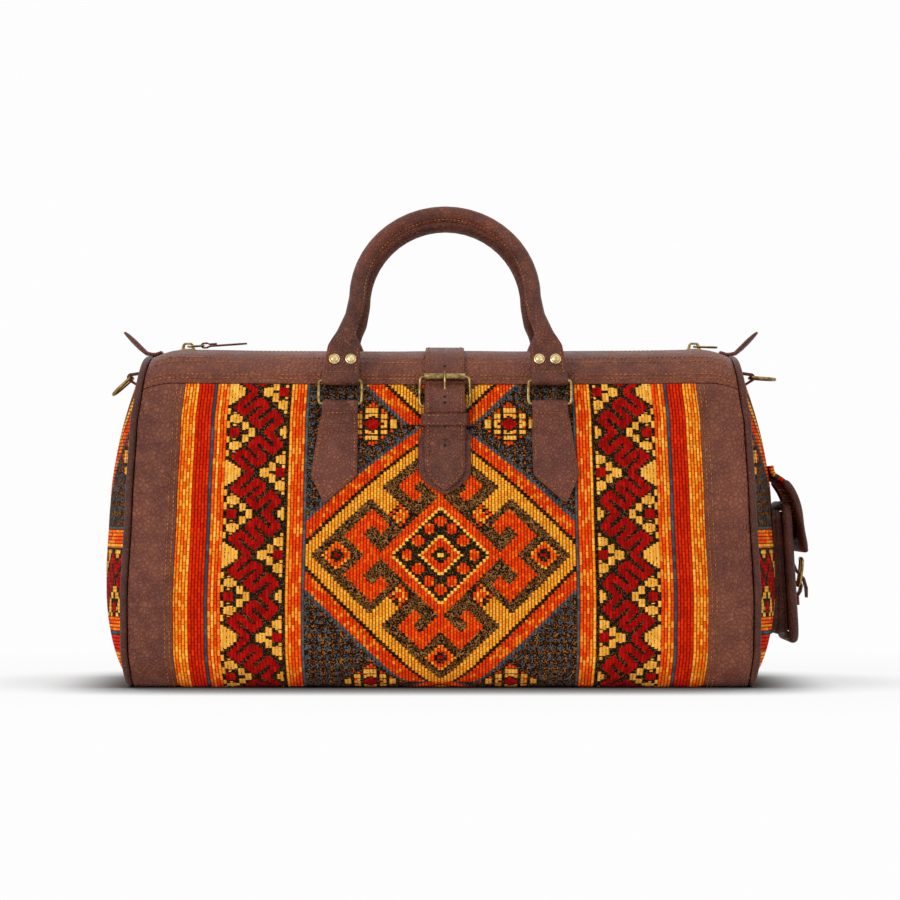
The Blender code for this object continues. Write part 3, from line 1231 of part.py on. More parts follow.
    bar_z = POCKET_BUCKLE_Z
    strap_half = POCKET_STRAP_WIDTH / 2
    turn_r = POCKET_BUCKLE_WIRE_R + SEAT_GAP * 1.8 + POCKET_STRAP_T / 2
    bar_w = POCKET_STRAP_T + SEAT_GAP * 2.8 + POCKET_BUCKLE_WIRE_R
    chape = [(bar_z - 0.026, POCKET_STRAP_T / 2 + SEAT_GAP), (bar_z - 0.012, POCKET_STRAP_T / 2 + SEAT_GAP)]
    chape += [(bar_z + r, bar_w + t) for r, t in arc((0.0, 0.0), turn_r, -90, 90, 6)]
    chape += [(bar_z - 0.0045, bar_w + turn_r * 0.62), (bar_z - 0.0085, POCKET_STRAP_T * 1.5 + SEAT_GAP * 2),
              (bar_z - 0.016, POCKET_STRAP_T * 1.5 + SEAT_GAP * 2)]
    rings = ribbon_rings(chape, POCKET_STRAP_T, [(-strap_half, strap_half)] * len(chape),
                         lambda y, z, w: Vector((front(z, w), y, z)))
    new_part("pocket_chape", loft(rings), (STRAP_LEATHER,))
    pivot = Vector((front(bar_z, bar_w), 0.0, bar_z))
    tilt = math.radians(7.0)
    up = Vector((math.sin(tilt), 0.0, math.cos(tilt)))
    high = POCKET_BUCKLE_HEIGHT - 2 * POCKET_BUCKLE_WIRE_R
    points = []
    for py, pz in round_box(POCKET_BUCKLE_WIDTH - 2 * POCKET_BUCKLE_WIRE_R, high, 0.0031, 2):
        k = (pz + high / 2) / high
        bow = Vector((0.0030 * math.sin(math.pi * k), 0.0, 0.0))
        points.append(pivot + Vector((0.0, py, 0.0)) + up * (pz + high / 2) + bow)
    wire("pocket_buckle", points, POCKET_BUCKLE_WIRE_R, BRASS, pivot, resolution=1)
    top_z = bar_z + high
    under = POCKET_STRAP_T / 2 + SEAT_GAP
    tongue = [(bar_z - 0.010, bar_w + turn_r * 2 + 0.0008), (bar_z - 0.002, bar_w + turn_r * 2 + 0.0010),
              (bar_z + 0.006, bar_w + turn_r * 1.7), (bar_z + 0.013, under + 0.0024),
              (bar_z + 0.019, under + 0.0002), (top_z + 0.002, under)]
    tongue.append((0.1130, under))
    tongue.append((0.1300, under + 0.0006))
    rings = ribbon_rings(tongue, POCKET_STRAP_T,
                         [(-0.004, 0.004)] + [(-strap_half, strap_half)] * (len(tongue) - 1),
                         lambda y, z, w: Vector((front(z, w), y, z)))
    new_part("pocket_tongue", loft(rings), (STRAP_LEATHER,))


shell()
end_panel("left_end_panel", -1)
end_panel("right_end_panel", 1)
piping("left_piping", -1)
piping("right_piping", 1)
lining()
for face_name, face_side in (("front", 1), ("back", -1)):
    patch(face_name + "_left_patch", face_side, False)
    patch(face_name + "_right_patch", face_side, True)
    ring(face_name + "_left_ring", face_side, -HANDLE_SPREAD)
    ring(face_name + "_right_ring", face_side, HANDLE_SPREAD)
    handle(face_name + "_handle", face_side)
holder()
closing_strap()
keeper()
buckle()
slider("left", -1)
slider("right", 1)
ear("left", -1)
ear("right", 1)
d_ring("left", -1, -42.0)
d_ring("right", 1, -4.0)
pocket()
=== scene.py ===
# %% [markdown]
# # Kilim weekender bag: the looks
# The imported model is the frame: it gives every body, joint and place. This script dresses it
# with woven cloth, grained leather, thread, brass and light. Nothing of the frame is moved.

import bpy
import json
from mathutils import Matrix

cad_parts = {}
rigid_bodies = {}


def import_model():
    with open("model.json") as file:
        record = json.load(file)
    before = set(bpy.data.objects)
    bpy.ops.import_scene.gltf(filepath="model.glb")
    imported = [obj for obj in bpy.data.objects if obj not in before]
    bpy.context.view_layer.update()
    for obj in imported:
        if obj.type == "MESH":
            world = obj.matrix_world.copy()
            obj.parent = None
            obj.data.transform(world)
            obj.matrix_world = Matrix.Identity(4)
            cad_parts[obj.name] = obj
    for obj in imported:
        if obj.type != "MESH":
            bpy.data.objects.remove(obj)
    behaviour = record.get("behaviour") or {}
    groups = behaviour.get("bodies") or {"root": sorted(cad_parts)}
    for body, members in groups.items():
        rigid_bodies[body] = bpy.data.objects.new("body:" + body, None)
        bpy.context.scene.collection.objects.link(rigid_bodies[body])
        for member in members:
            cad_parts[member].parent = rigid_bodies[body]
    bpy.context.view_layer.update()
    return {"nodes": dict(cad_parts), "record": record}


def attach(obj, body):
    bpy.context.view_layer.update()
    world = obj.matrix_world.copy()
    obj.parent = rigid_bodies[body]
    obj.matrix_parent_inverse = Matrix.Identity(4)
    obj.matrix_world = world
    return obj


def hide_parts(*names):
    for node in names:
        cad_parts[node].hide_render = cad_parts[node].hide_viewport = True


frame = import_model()

# %% Tools of this lesson
import math
import random

import bmesh
import bpy
import numpy as np
from mathutils import Matrix, Vector
from mathutils.geometry import interpolate_bezier

random.seed(7)
MM = 0.001

# %% [markdown]
# ## The shell that every panel is bent over
# A soft bag is one sagging shell. A spot on it is given by x along the bag, v up the girth
# from the middle of the base over the front to the zip, and w above the leather. The real
# maker stretches flat pieces over the lining the same way. The sizes are the frame's own.

# %% Sizes of the shell
HALF_LENGTH = 0.2575
BODY_DEPTH = 0.250
SHOULDER_DEPTH = 0.216
BODY_HEIGHT = 0.276
SHOULDER_Z = 0.236
BASE_TURN = 0.026
TOP_FLAT = 0.148
TOP_CROWN = 0.004
END_PINCH = 0.05
END_DROP = 0.010
SHOULDER_RUN = 0.034
TOP_SAG = 0.002
END_BULGE = 0.0210
REACH = ((0.0, 0.985), (0.109, 0.998), (0.254, 1.0), (0.543, 0.985), (0.779, 0.972), (0.888, 0.957),
         (1.014, 0.938))
SEAM_GAP = 0.0004
SEAT_GAP = 0.0003
CLOTH_T = 0.0032
LEATHER_T = 0.0028
PIPING_R = 0.0028
PIPING_SINK = 0.0006
END_EDGE = HALF_LENGTH - 0.0062
KILIM_HALF = HALF_LENGTH - 0.0425
BASE_SEAM = 0.092
FITTING_SHIFT = 0.0035


# %% The girth as a table
def lerp(a, b, k):
    return a + (b - a) * k


def smooth(k):
    k = np.clip(k, 0.0, 1.0)
    return k * k * (3.0 - 2.0 * k)


def trace_profile():
    """Half of the girth as rows of (run, out, height)."""
    shoulder = Vector((0.0, SHOULDER_DEPTH / 2, SHOULDER_Z))
    edge = Vector((0.0, TOP_FLAT / 2, BODY_HEIGHT - TOP_CROWN))
    turn = Vector((0.0, BODY_DEPTH / 2 - BASE_TURN, 0.0))
    wall = Vector((0.0, BODY_DEPTH / 2, BASE_TURN))
    rise = Vector((0.0, -0.13, 0.99))
    over = Vector((0.0, -0.985, 0.17))
    top = Vector((0.0, 0.0, BODY_HEIGHT))
    pull = (SHOULDER_Z - BASE_TURN) * 0.35
    points = [Vector((0.0, 0.0, 0.0))]
    points += interpolate_bezier(turn, turn + Vector((0.0, BASE_TURN * 0.56, 0.0)),
                                 wall - Vector((0.0, 0.0, BASE_TURN * 0.56)), wall, 40)
    points += interpolate_bezier(wall, wall + Vector((0.0, 0.0, pull)), shoulder - rise * pull, shoulder, 80)[1:]
    points += interpolate_bezier(shoulder, shoulder + rise * 0.020, edge - over * 0.021, edge, 40)[1:]
    points += interpolate_bezier(edge, edge + over * 0.026, top + Vector((0.0, 0.024, 0.0)), top, 40)[1:]
    runs = [0.0]
    for a, b in zip(points, points[1:]):
        runs.append(runs[-1] + (b - a).length)
    return np.array([(run, p.y, p.z) for run, p in zip(runs, points)])


RUN, OUT, HIGH = trace_profile().T
HALF_GIRTH = RUN[-1]
TURN_V, WALL_V = RUN[1], RUN[40]


def run_at(z):
    """The run of the wall at a height."""
    return float(np.interp(z, HIGH[1:], RUN[1:]))


TOP_SEAM = run_at(BODY_HEIGHT - 0.030)
print("half girth %.4f, wall from %.4f, top seam at %.4f" % (HALF_GIRTH, WALL_V, TOP_SEAM))


# %% A spot on the shell
def reach(z):
    """Share of the full length that the bag has at a height."""
    share = np.asarray(z, float) / BODY_HEIGHT
    table = np.array(REACH)
    i = np.clip(np.searchsorted(table[:, 0], share) - 1, 0, len(table) - 2)
    k = (share - table[i, 0]) / (table[i + 1, 0] - table[i, 0])
    return lerp(table[i, 1], table[i + 1, 1], (smooth(k) + k) / 2)


def shape(x, v):
    """Points of the outer face, as rows of x, y, z."""
    x, v = np.broadcast_arrays(np.asarray(x, float), np.asarray(v, float))
    side = np.where((v > HALF_GIRTH) | (v < 0.0), 1.0, -1.0)
    v = np.where(v > HALF_GIRTH, 2.0 * HALF_GIRTH - v, np.abs(v))
    out, z = np.interp(v, RUN, OUT), np.interp(v, RUN, HIGH)
    k = x / HALF_LENGTH
    edge = np.maximum(0.0, (np.abs(x) - (HALF_LENGTH - SHOULDER_RUN)) / SHOULDER_RUN)
    height = smooth((z / BODY_HEIGHT - 0.6) / 0.4)
    drop = END_DROP * edge * edge * height + TOP_SAG * (1.0 - k * k) * height
    return np.stack((x * reach(z), side * out * (1.0 - END_PINCH * k ** 4), z - drop), -1)


def normal(x, v):
    e = 0.002
    n = np.cross(shape(x + e, v) - shape(x - e, v), shape(x, v + e) - shape(x, v - e))
    return n / np.linalg.norm(n, axis=-1, keepdims=True)


def skin(x, v, w=0.0):
    """Points at the height w above the outer face."""
    x, v, w = np.broadcast_arrays(np.asarray(x, float), np.asarray(v, float), np.asarray(w, float))
    return shape(x, v) + normal(x, v) * w[..., None]


def upright(x, v, w):
    """Points off the girth, moved within their own upright section only."""
    x, v, w = np.broadcast_arrays(np.asarray(x, float), np.asarray(v, float), np.asarray(w, float))
    up = shape(x, v + 0.002) - shape(x, v - 0.002)
    off = np.stack((np.zeros_like(x), -up[..., 2], up[..., 1]), -1)
    return shape(x, v) + off / np.linalg.norm(off, axis=-1, keepdims=True) * w[..., None]


# %% [markdown]
# ## Small tools for meshes
# Panels start as a flat grid, which is bent over the shell point by point; the leather ones
# then get their thickness from Solidify and their soft cut edge from Bevel. Small fittings start
# as a merged copy of their frame node, whose shape is right, and get softer edges.

# %% Making and finishing pieces
def piece(name, mesh, finish, body="bag", replaces=(), smooth_shade=True):
    """Put a finished mesh in the scene, on its body."""
    mesh.name = name
    if finish is not None:
        mesh.materials.clear()
        mesh.materials.append(finish)
    for face in mesh.polygons:
        face.use_smooth = smooth_shade
    made = bpy.data.objects.new(name, mesh)
    bpy.context.scene.collection.objects.link(made)
    if replaces:
        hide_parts(*replaces)
    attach(made, body)
    return made


def modify(obj, kind, **settings):
    step = obj.modifiers.new(kind.lower(), kind)
    for key, value in settings.items():
        setattr(step, key, value)
    return step


def soft_edge(obj, width, segments=2, angle=40.0):
    modify(obj, "BEVEL", width=width, segments=segments, limit_method="ANGLE", profile=0.5,
           angle_limit=math.radians(angle), use_clamp_overlap=True)


def grid(nx, ny):
    """A flat grid mesh and the two shares, 0 to 1, of each vertex."""
    bm = bmesh.new()
    bmesh.ops.create_grid(bm, x_segments=nx, y_segments=ny, size=0.5)
    mesh = bpy.data.meshes.new("grid")
    bm.to_mesh(mesh)
    bm.free()
    co = np.empty(len(mesh.vertices) * 3)
    mesh.vertices.foreach_get("co", co)
    co = co.reshape(-1, 3)
    return mesh, co[:, 0] + 0.5, co[:, 1] + 0.5


def put(mesh, points):
    mesh.vertices.foreach_set("co", np.ascontiguousarray(points, float).ravel())
    mesh.update()


def corner_index(mesh):
    index = np.empty(len(mesh.loops), int)
    mesh.loops.foreach_get("vertex_index", index)
    return index


def unwrap(mesh, a, b):
    """Own UV map from two numbers at each vertex."""
    index = corner_index(mesh)
    layer = mesh.uv_layers.new(name="weave")
    layer.data.foreach_set("uv", np.stack((a[index], b[index]), -1).ravel())


def merged_copy(node):
    """A welded copy of a frame node's mesh."""
    bm = bmesh.new()
    bm.from_mesh(frame["nodes"][node].data)
    bmesh.ops.remove_doubles(bm, verts=bm.verts, dist=1e-5)
    bmesh.ops.dissolve_limit(bm, angle_limit=math.radians(0.6), verts=bm.verts, edges=bm.edges,
                             delimit={"NORMAL"})
    bmesh.ops.recalc_face_normals(bm, faces=bm.faces)
    mesh = bpy.data.meshes.new(node)
    bm.to_mesh(mesh)
    bm.free()
    return mesh


BODY_OF = {node: body for body, nodes in frame["record"]["behaviour"]["bodies"].items() for node in nodes}


# %% [markdown]
# ## Finishes
# Every finish is made of nodes on object coordinates, in metres, or on the cloth's own UV
# map, so that a grain of one millimetre stays one millimetre.

# %% Node helpers
def srgb(code):
    """A hex colour as linear red, green, blue and alpha."""
    values = [int(code[i:i + 2], 16) / 255 for i in (1, 3, 5)]
    return tuple(c / 12.92 if c <= 0.04045 else ((c + 0.055) / 1.055) ** 2.4 for c in values) + (1.0,)


def add(tree, kind, settings=None, **inputs):
    """One node: settings are its own fields, inputs are sockets by name (_ for a space) or i0, i1."""
    made = tree.nodes.new("ShaderNode" + kind)
    for key, value in (settings or {}).items():
        setattr(made, key, value)
    for key, value in inputs.items():
        numbered = key[0] == "i" and key[1:].isdigit()
        socket = made.inputs[int(key[1:])] if numbered else made.inputs[key.replace("_", " ")]
        if isinstance(value, bpy.types.NodeSocket):
            tree.links.new(value, socket)
        else:
            socket.default_value = value
    return made


def calc(tree, operation, *values):
    return add(tree, "Math", {"operation": operation},
               **{"i%d" % i: value for i, value in enumerate(values)}).outputs[0]


def mix(tree, factor, a, b, blend="MIX"):
    return add(tree, "MixRGB", {"blend_type": blend}, Fac=factor, Color1=a, Color2=b).outputs[0]


def ramp(tree, value, low, high, to_low=0.0, to_high=1.0):
    return add(tree, "MapRange", {"interpolation_type": "SMOOTHSTEP"}, Value=value, From_Min=low,
               From_Max=high, To_Min=to_low, To_Max=to_high).outputs[0]


def start(name, slots=None):
    """A new finish: its tree, its Principled shader and its object coordinates."""
    made = bpy.data.materials.new(name)
    made.use_nodes = True
    tree = made.node_tree
    shader = tree.nodes["Principled BSDF"]
    return made, tree, shader, add(tree, "TexCoord").outputs["Object"]


def noise(tree, where, scale, detail=3.0, roughness=0.55, distortion=0.0):
    return add(tree, "TexNoise", Vector=where, Scale=scale, Detail=detail, Roughness=roughness,
               Distortion=distortion).outputs["Fac"]


# %% Leather
def leather(name, base, dark, light, gloss=0.50, grain=1.0):
    """Pull-up leather: cloudy brown, a crackle of fine creases, pale looping scuffs."""
    made, tree, shader, where = start(name)
    cloud = noise(tree, where, 14.0, 4.0)
    small = noise(tree, where, 90.0, 4.0)
    pores = noise(tree, where, 1500.0 / grain, 2.0)
    warp = add(tree, "TexNoise", Vector=where, Scale=160.0 / grain, Detail=2.0).outputs["Color"]
    bent = add(tree, "VectorMath", {"operation": "MULTIPLY_ADD"}, i0=warp, i1=(0.004, 0.004, 0.004),
               i2=where).outputs[0]
    crack = add(tree, "TexVoronoi", {"feature": "DISTANCE_TO_EDGE"}, Vector=bent,
                Scale=270.0 / grain).outputs["Distance"]
    crease = ramp(tree, crack, 0.0, 0.24, 1.0, 0.0)
    loop_warp = add(tree, "TexNoise", Vector=where, Scale=38.0, Detail=1.0).outputs["Color"]
    looped = add(tree, "VectorMath", {"operation": "MULTIPLY_ADD"}, i0=loop_warp, i1=(0.05, 0.05, 0.05),
                 i2=where).outputs[0]
    scuff = add(tree, "TexVoronoi", {"feature": "DISTANCE_TO_EDGE"}, Vector=looped, Scale=80.0).outputs["Distance"]
    broken = ramp(tree, noise(tree, where, 60.0, 1.0), 0.45, 0.62)
    scratch = calc(tree, "MULTIPLY", ramp(tree, scuff, 0.0, 0.035, 1.0, 0.0), broken)
    tone = mix(tree, ramp(tree, cloud, 0.32, 0.68), srgb(dark), srgb(base))
    tone = mix(tree, ramp(tree, small, 0.35, 0.75, 0.0, 0.45), tone, srgb(light))
    tone = mix(tree, calc(tree, "MULTIPLY", crease, 0.55), tone, srgb(dark))
    tone = mix(tree, calc(tree, "MULTIPLY", scratch, 0.55), tone, srgb(light))
    height = calc(tree, "ADD", calc(tree, "MULTIPLY", pores, 0.25), calc(tree, "MULTIPLY", crease, -0.7))
    height = calc(tree, "ADD", height, calc(tree, "MULTIPLY", small, 1.1))
    height = calc(tree, "ADD", height, calc(tree, "MULTIPLY", scratch, -0.5))
    bump = add(tree, "Bump", Strength=0.9, Distance=0.0008, Height=height)
    tree.links.new(tone, shader.inputs["Base Color"])
    tree.links.new(ramp(tree, small, 0.3, 0.7, gloss - 0.07, gloss + 0.09), shader.inputs["Roughness"])
    tree.links.new(bump.outputs["Normal"], shader.inputs["Normal"])
    shader.inputs["Specular IOR Level"].default_value = 0.30
    return made


BAND_LEATHER = leather("pull_up_leather", "#7e4230", "#5a291b", "#a06446", 0.46)
STRAP_LEATHER = leather("strap_leather", "#763c2c", "#4e2519", "#965c46", 0.43, 0.8)
HANDLE_LEATHER = leather("handle_leather", "#723726", "#462014", "#98583c", 0.38, 0.7)
PIPING_LEATHER = leather("piping_leather", "#5f3022", "#3e1e15", "#7c4a38", 0.46, 0.7)


# %% Woven cloth
def woven(name):
    """Kilim cloth: floats are rounded dashes in their own dye; the dark net between them is flecked."""
    made, tree, shader, where = start(name)
    uv = add(tree, "UVMap", {"uv_map": "weave"}).outputs[0]
    wobble = add(tree, "TexNoise", Vector=where, Scale=380.0, Detail=1.0).outputs["Color"]
    spread = add(tree, "VectorMath", {"operation": "MULTIPLY_ADD"}, i0=wobble, i1=(0.22, 0.14, 0.0),
                 i2=uv).outputs[0]
    axes = add(tree, "SeparateXYZ", Vector=spread).outputs
    u = calc(tree, "SUBTRACT", axes[0], 0.11)
    v = calc(tree, "SUBTRACT", axes[1], 0.07)
    mark = add(tree, "Attribute", {"attribute_name": "dye"}).outputs
    dye, cover = mark["Color"], mark["Alpha"]
    half_step = calc(tree, "MULTIPLY", calc(tree, "FLOORED_MODULO", calc(tree, "FLOOR", u), 2.0), 0.5)
    across = calc(tree, "ABSOLUTE", calc(tree, "SUBTRACT", calc(tree, "FRACT", u), 0.5))
    along = calc(tree, "ABSOLUTE", calc(tree, "SUBTRACT", calc(tree, "FRACT", calc(tree, "ADD", v, half_step)), 0.5))
    # short stitches are parted at their ends; the long dashes of the serpent band are not
    parted = calc(tree, "MULTIPLY", ramp(tree, along, 0.40, 0.50), ramp(tree, cover, 0.90, 0.97, 0.0, 0.75))
    hill = calc(tree, "MULTIPLY", ramp(tree, across, 0.20, 0.50, 1.0, 0.0), calc(tree, "SUBTRACT", 1.0, parted))
    slant = calc(tree, "ADD", calc(tree, "MULTIPLY", u, 5.0), calc(tree, "MULTIPLY", v, 26.0))
    strand = calc(tree, "MULTIPLY_ADD", calc(tree, "SINE", slant), 0.5, 0.5)
    fuzz = noise(tree, where, 1500.0, 1.0)
    depth = calc(tree, "ADD", calc(tree, "MULTIPLY", hill, 0.95), calc(tree, "MULTIPLY", fuzz, 0.25))
    depth = calc(tree, "ADD", depth, calc(tree, "MULTIPLY", strand, 0.10))
    # painted shade and highlight: each float's dye is darkened deeper and redder, not grey, towards its edges and
    # parted ends, and lifted to a painted highlight on its crown
    painted_shade_and_highlight = mix(tree, ramp(tree, depth, 0.10, 1.05), (0.26, 0.10, 0.08, 1.0), (1.16, 1.14, 1.08, 1.0))
    float_tone = mix(tree, 1.0, dye, painted_shade_and_highlight, "MULTIPLY")
    speck = calc(tree, "ADD", noise(tree, where, 880.0, 0.0), calc(tree, "MULTIPLY", cover, 0.35))
    net_tone = mix(tree, ramp(tree, speck, 0.58, 0.72), srgb("#14100b"), dye)
    floats = ramp(tree, cover, 0.74, 0.80)
    between = calc(tree, "MULTIPLY", ramp(tree, across, 0.25, 0.39), ramp(tree, cover, 0.88, 0.92, 0.95, 0.0))
    floats = calc(tree, "MULTIPLY", floats, calc(tree, "SUBTRACT", 1.0, between))
    height = calc(tree, "ADD", calc(tree, "MULTIPLY", hill, floats), calc(tree, "MULTIPLY", fuzz, 0.3))
    bump = add(tree, "Bump", Strength=0.8, Distance=0.0006, Height=height)
    tree.links.new(mix(tree, floats, net_tone, float_tone), shader.inputs["Base Color"])
    tree.links.new(bump.outputs["Normal"], shader.inputs["Normal"])
    shader.inputs["Roughness"].default_value = 0.9
    shader.inputs["Specular IOR Level"].default_value = 0.06
    return made


KILIM = woven("kilim_wool")

# %% [markdown]
# ## The kilim
# The cloth is woven in stripes with stepped medallions between them. The loom sets one
# colour for each float, so the pattern is a rule that gives the colour of the float at
# (across, up), in millimetres from a medallion's middle. Diamonds, bars and hooks of that
# rule are simple shapes in the diamond's own two slanted directions.

# %% Dyes
# Each dye has a cover and its shades. A cover of 1 is a field of short stitches, 0.86 one of
# long dashes, and less is the share of flecks in the dark net.
DYES = {
    "ground": (0.20, "#8e4c12", "#70390e", "#a0621e"), "flecks": (0.38, "#7e5226", "#68421c", "#946636"),
    "black": (0.10, "#5e4620", "#4a371a", "#704a20"), "slate": (0.46, "#4c4e50", "#404244", "#56585a"),
    "edge": (0.94, "#465055", "#3c464b", "#51595d"), "line": (0.94, "#2c4a55", "#355662", "#27424c"),
    "orange": (1.0, "#ea4c06", "#e03e02", "#ee620c", "#f58c28"), "pale": (1.0, "#f59c2c", "#ef861c", "#f8ae44"),
    "flame": (1.0, "#ca2402", "#be1e00", "#d42c02", "#c62202"), "fire": (1.0, "#ea4c06", "#de3c02", "#f28018", "#d83402"),
    "amber": (1.0, "#f09e28", "#f4aa34", "#e88e20", "#f2a42e"), "marigold": (1.0, "#ee7a12", "#f28c20", "#e65c08", "#f6a234"),
    "red": (0.86, "#9c0804", "#8a0604", "#ae0c06"), "tan": (0.86, "#e8a63e", "#e09a34", "#f0b24c"),
    "hook": (1.0, "#ea4806", "#e03c02", "#f05a0a", "#da3602"), "straw": (0.86, "#f6b646", "#f0a838", "#fac456")}
NAMES = list(DYES)
PALETTE = [np.array([srgb(code)[:3] for code in shades[1:]]) for shades in DYES.values()]
COVER = np.array([shades[0] for shades in DYES.values()])
GROUND_REPEAT = 212.0
BAND_REPEAT = 66.4


def inside(corners, a, b):
    """Which spots lie inside a polygon."""
    hit = np.zeros(a.shape, bool)
    for (a0, b0), (a1, b1) in zip(corners, corners[1:] + corners[:1]):
        crosses = (b0 > b) != (b1 > b)
        hit ^= crosses & (a < (a1 - a0) * (b - b0) / ((b1 - b0) or 1e-9) + a0)
    return hit


def near(p, q, a, b):
    """Distance to the straight bar from p to q."""
    dx, dy = q[0] - p[0], q[1] - p[1]
    k = np.clip(((a - p[0]) * dx + (b - p[1]) * dy) / (dx * dx + dy * dy), 0.0, 1.0)
    return np.hypot(a - p[0] - k * dx, b - p[1] - k * dy)


# %% The medallion and its ground
FLOWERS = ((0.0, 27.6), (27.0, 0.0), (9.4, 21.2), (18.2, 11.2))


def field(x, y, paint):
    """The middle field: ground, flower diamonds and the hooked medallion."""
    paint("ground", np.abs(x) <= 110.4)
    block = (np.floor(x / 2.6) % 3 < 1.9) & (y % 7.0 < 4.6)
    paint("slate", block & (np.abs(x) <= 110.4))
    local = (y + GROUND_REPEAT / 2) % GROUND_REPEAT - GROUND_REPEAT / 2
    p = np.abs(x)
    q = np.abs(local) * (1.0 + np.where(local > 0.0, 1.6e-5, 3.0e-6) * local * local)
    d, b = p + q, p - q
    fx, fy = p - 56.5, (y + 105.5 + GROUND_REPEAT / 2) % GROUND_REPEAT - GROUND_REPEAT / 2
    fy = np.minimum(np.abs(fy), np.abs(np.abs(fy) - GROUND_REPEAT))
    petal = np.abs(fx) / 27.0 + fy / 20.0
    paint("black", petal < 1.0)
    fa, fb = np.abs(fx), fy
    cut = ((fb + 1.2) % 4.8 < 1.1) | (np.floor(fa / 2.6) % 3 == 2)
    odd = (np.floor(fa / 7.8) + np.floor((fb + 1.2) / 4.8)) % 2 == 1
    paint("tan", (petal < 0.92) & ~cut)
    paint("hook", (petal > 0.55) & (petal < 0.92) & ~cut & odd)
    paint("black", petal < 0.38)
    paint("red", petal < 0.28)
    paint("edge", (d >= 136.0) & (d < 140.0) & (p <= 110.4))
    inner = (d < 136.0) & (p <= 110.4)
    paint("fire", inner)
    paint("black", inner & (d < 121.2))
    paint("amber", inner & (d < 117.0))
    paint("flecks", inner & (d < 105.0))
    # amber bars from the band towards the middle, each with a flower at its foot
    paint("amber", (np.abs(b) < 9.5) & (d >= 76.0) & (d <= 105.5))
    paint("black", (np.abs(b) < 11.0) & (d >= 53.0) & (d < 76.0))
    paint("hook", (np.abs(b) < 9.0) & (d >= 56.0) & (d < 74.0) & ((np.floor(p / 3.6) + np.floor(q / 4.3)) % 2 == 0))
    paint("amber", (np.abs(b) < 9.0) & (d >= 60.0) & (d < 70.0) & ((np.floor(p / 3.6) + np.floor(q / 4.3)) % 2 == 1))
    # rams' horns
    horn = (d >= 65.0) & (d <= 93.5) & (b >= 17.6) & (b <= 60.8) & ~((d < 79.0) & (b > 31.0) & (b < 46.0))
    horn |= (b >= 46.0) & (b <= 62.0) & (d >= 45.0) & (d <= 93.5)
    rise = -b
    horn |= (d >= 65.0) & (d <= 93.0) & (rise >= 23.0) & (rise <= 62.0) & ~((d < 79.0) & (rise > 35.0) & (rise < 47.0))
    horn |= (rise >= 47.0) & (rise <= 62.0) & (d >= 45.0) & (d <= 93.0)
    paint("hook", horn)
    # the framed heart
    for ex, ey in ((83.6, 0.0), (0.0, 84.0)):
        eye = np.abs(p - ex) + np.abs(q - ey)
        paint("black", eye < 14.0)
        paint("marigold", eye < 12.4)
        paint("hook", eye < 9.6)
        paint("black", eye < 6.4)
        paint("red", eye < 2.6)
    paint("hook", d < 50.4)
    paint("straw", d < 40.6)
    paint("black", d < 38.2)
    for ex, ey in FLOWERS:
        flower = np.hypot((p - ex) / 4.4, (q - ey) / 4.6)
        paint("fire", flower < 1.0)
        paint("hook", flower < 0.55)
    paint("straw", d < 17.4)
    paint("hook", d < 15.2)
    paint("black", d < 7.8)
    paint("straw", d < 2.6)


# %% The stripes and the serpent band
SERPENT = ((35.2, 0.0), (45.5, 10.0), (39.7, 16.0), (27.7, 5.3), (21.9, 11.0), (33.6, 21.7), (27.4, 26.0),
           (15.7, 16.0), (9.5, 20.3), (23.0, 33.2))
# tufts of dashes: distance into the band, height from the left square, half width, half height
TUFTS = ((22.0, 0.0, 3.7, 4.2), (16.2, 5.2, 2.6, 3.6), (9.0, 11.2, 4.0, 4.1), (3.2, 6.3, 1.3, 3.0),
         (3.2, 17.3, 1.3, 3.0), (47.4, 22.5, 3.6, 4.2), (50.3, 16.8, 1.3, 1.6), (50.3, 28.2, 1.3, 1.4),
         (40.0, 28.4, 3.6, 3.9), (34.2, 33.2, 3.9, 4.2), (6.4, 5.8, 1.3, 0.9), (6.6, 16.3, 1.3, 0.9))


def stripes(x, y, paint):
    """The stripes outwards from the field, with the serpent on black between two of them."""
    away = np.abs(x)
    for low, high, dye in ((110.4, 112.9, "edge"), (112.9, 123.5, "orange"), (123.5, 126.1, "pale"),
                           (126.1, 178.0, "black"), (178.0, 183.0, "orange"), (183.0, 185.6, "pale"),
                           (185.6, 188.3, "orange"), (188.3, 190.9, "line"), (190.9, 203.9, "flame"),
                           (203.9, 206.5, "pale"), (206.5, 400.0, "marigold")):
        paint(dye, (away > low) & (away <= high))
    band = (away > 126.1) & (away <= 178.0)
    a = 178.0 - away
    t = (-y) % BAND_REPEAT
    half = np.abs(t - BAND_REPEAT / 2)
    folded = BAND_REPEAT / 2 - half
    worm = np.full(a.shape, 99.0)
    for p, q in zip(SERPENT, SERPENT[1:]):
        worm = np.minimum(worm, near(p, q, a, half))
    paint("red", band & (worm < 2.6))
    clear = band & (worm > 4.3)
    for ta, th, wide, tall in TUFTS:
        side = np.abs(a - ta) / wide
        paint("tan", clear & (side < 1.0) & (np.abs(half - th) < tall * (1.0 - 0.28 * side)))
    paint("tan", clear & (a > 1.7) & (a < 13.4) & (folded < 9.9 - (a - 3.4) * 0.66))
    paint("tan", clear & (a > 46.2) & (a < 51.0) & (half < 3.7 + (a - 47.5) * 0.85))
    paint("red", band & (np.abs(a - 46.6) < 4.0) & (folded < 3.6))
    paint("red", band & (np.abs(a - 7.6) < 4.0) & (half < 3.5))


# %% Weaving a mesh
COLUMN = 2.6 * MM
CELL = 0.8 * MM
STITCH, LONG_STITCH = 3.2 * MM, 5.6 * MM


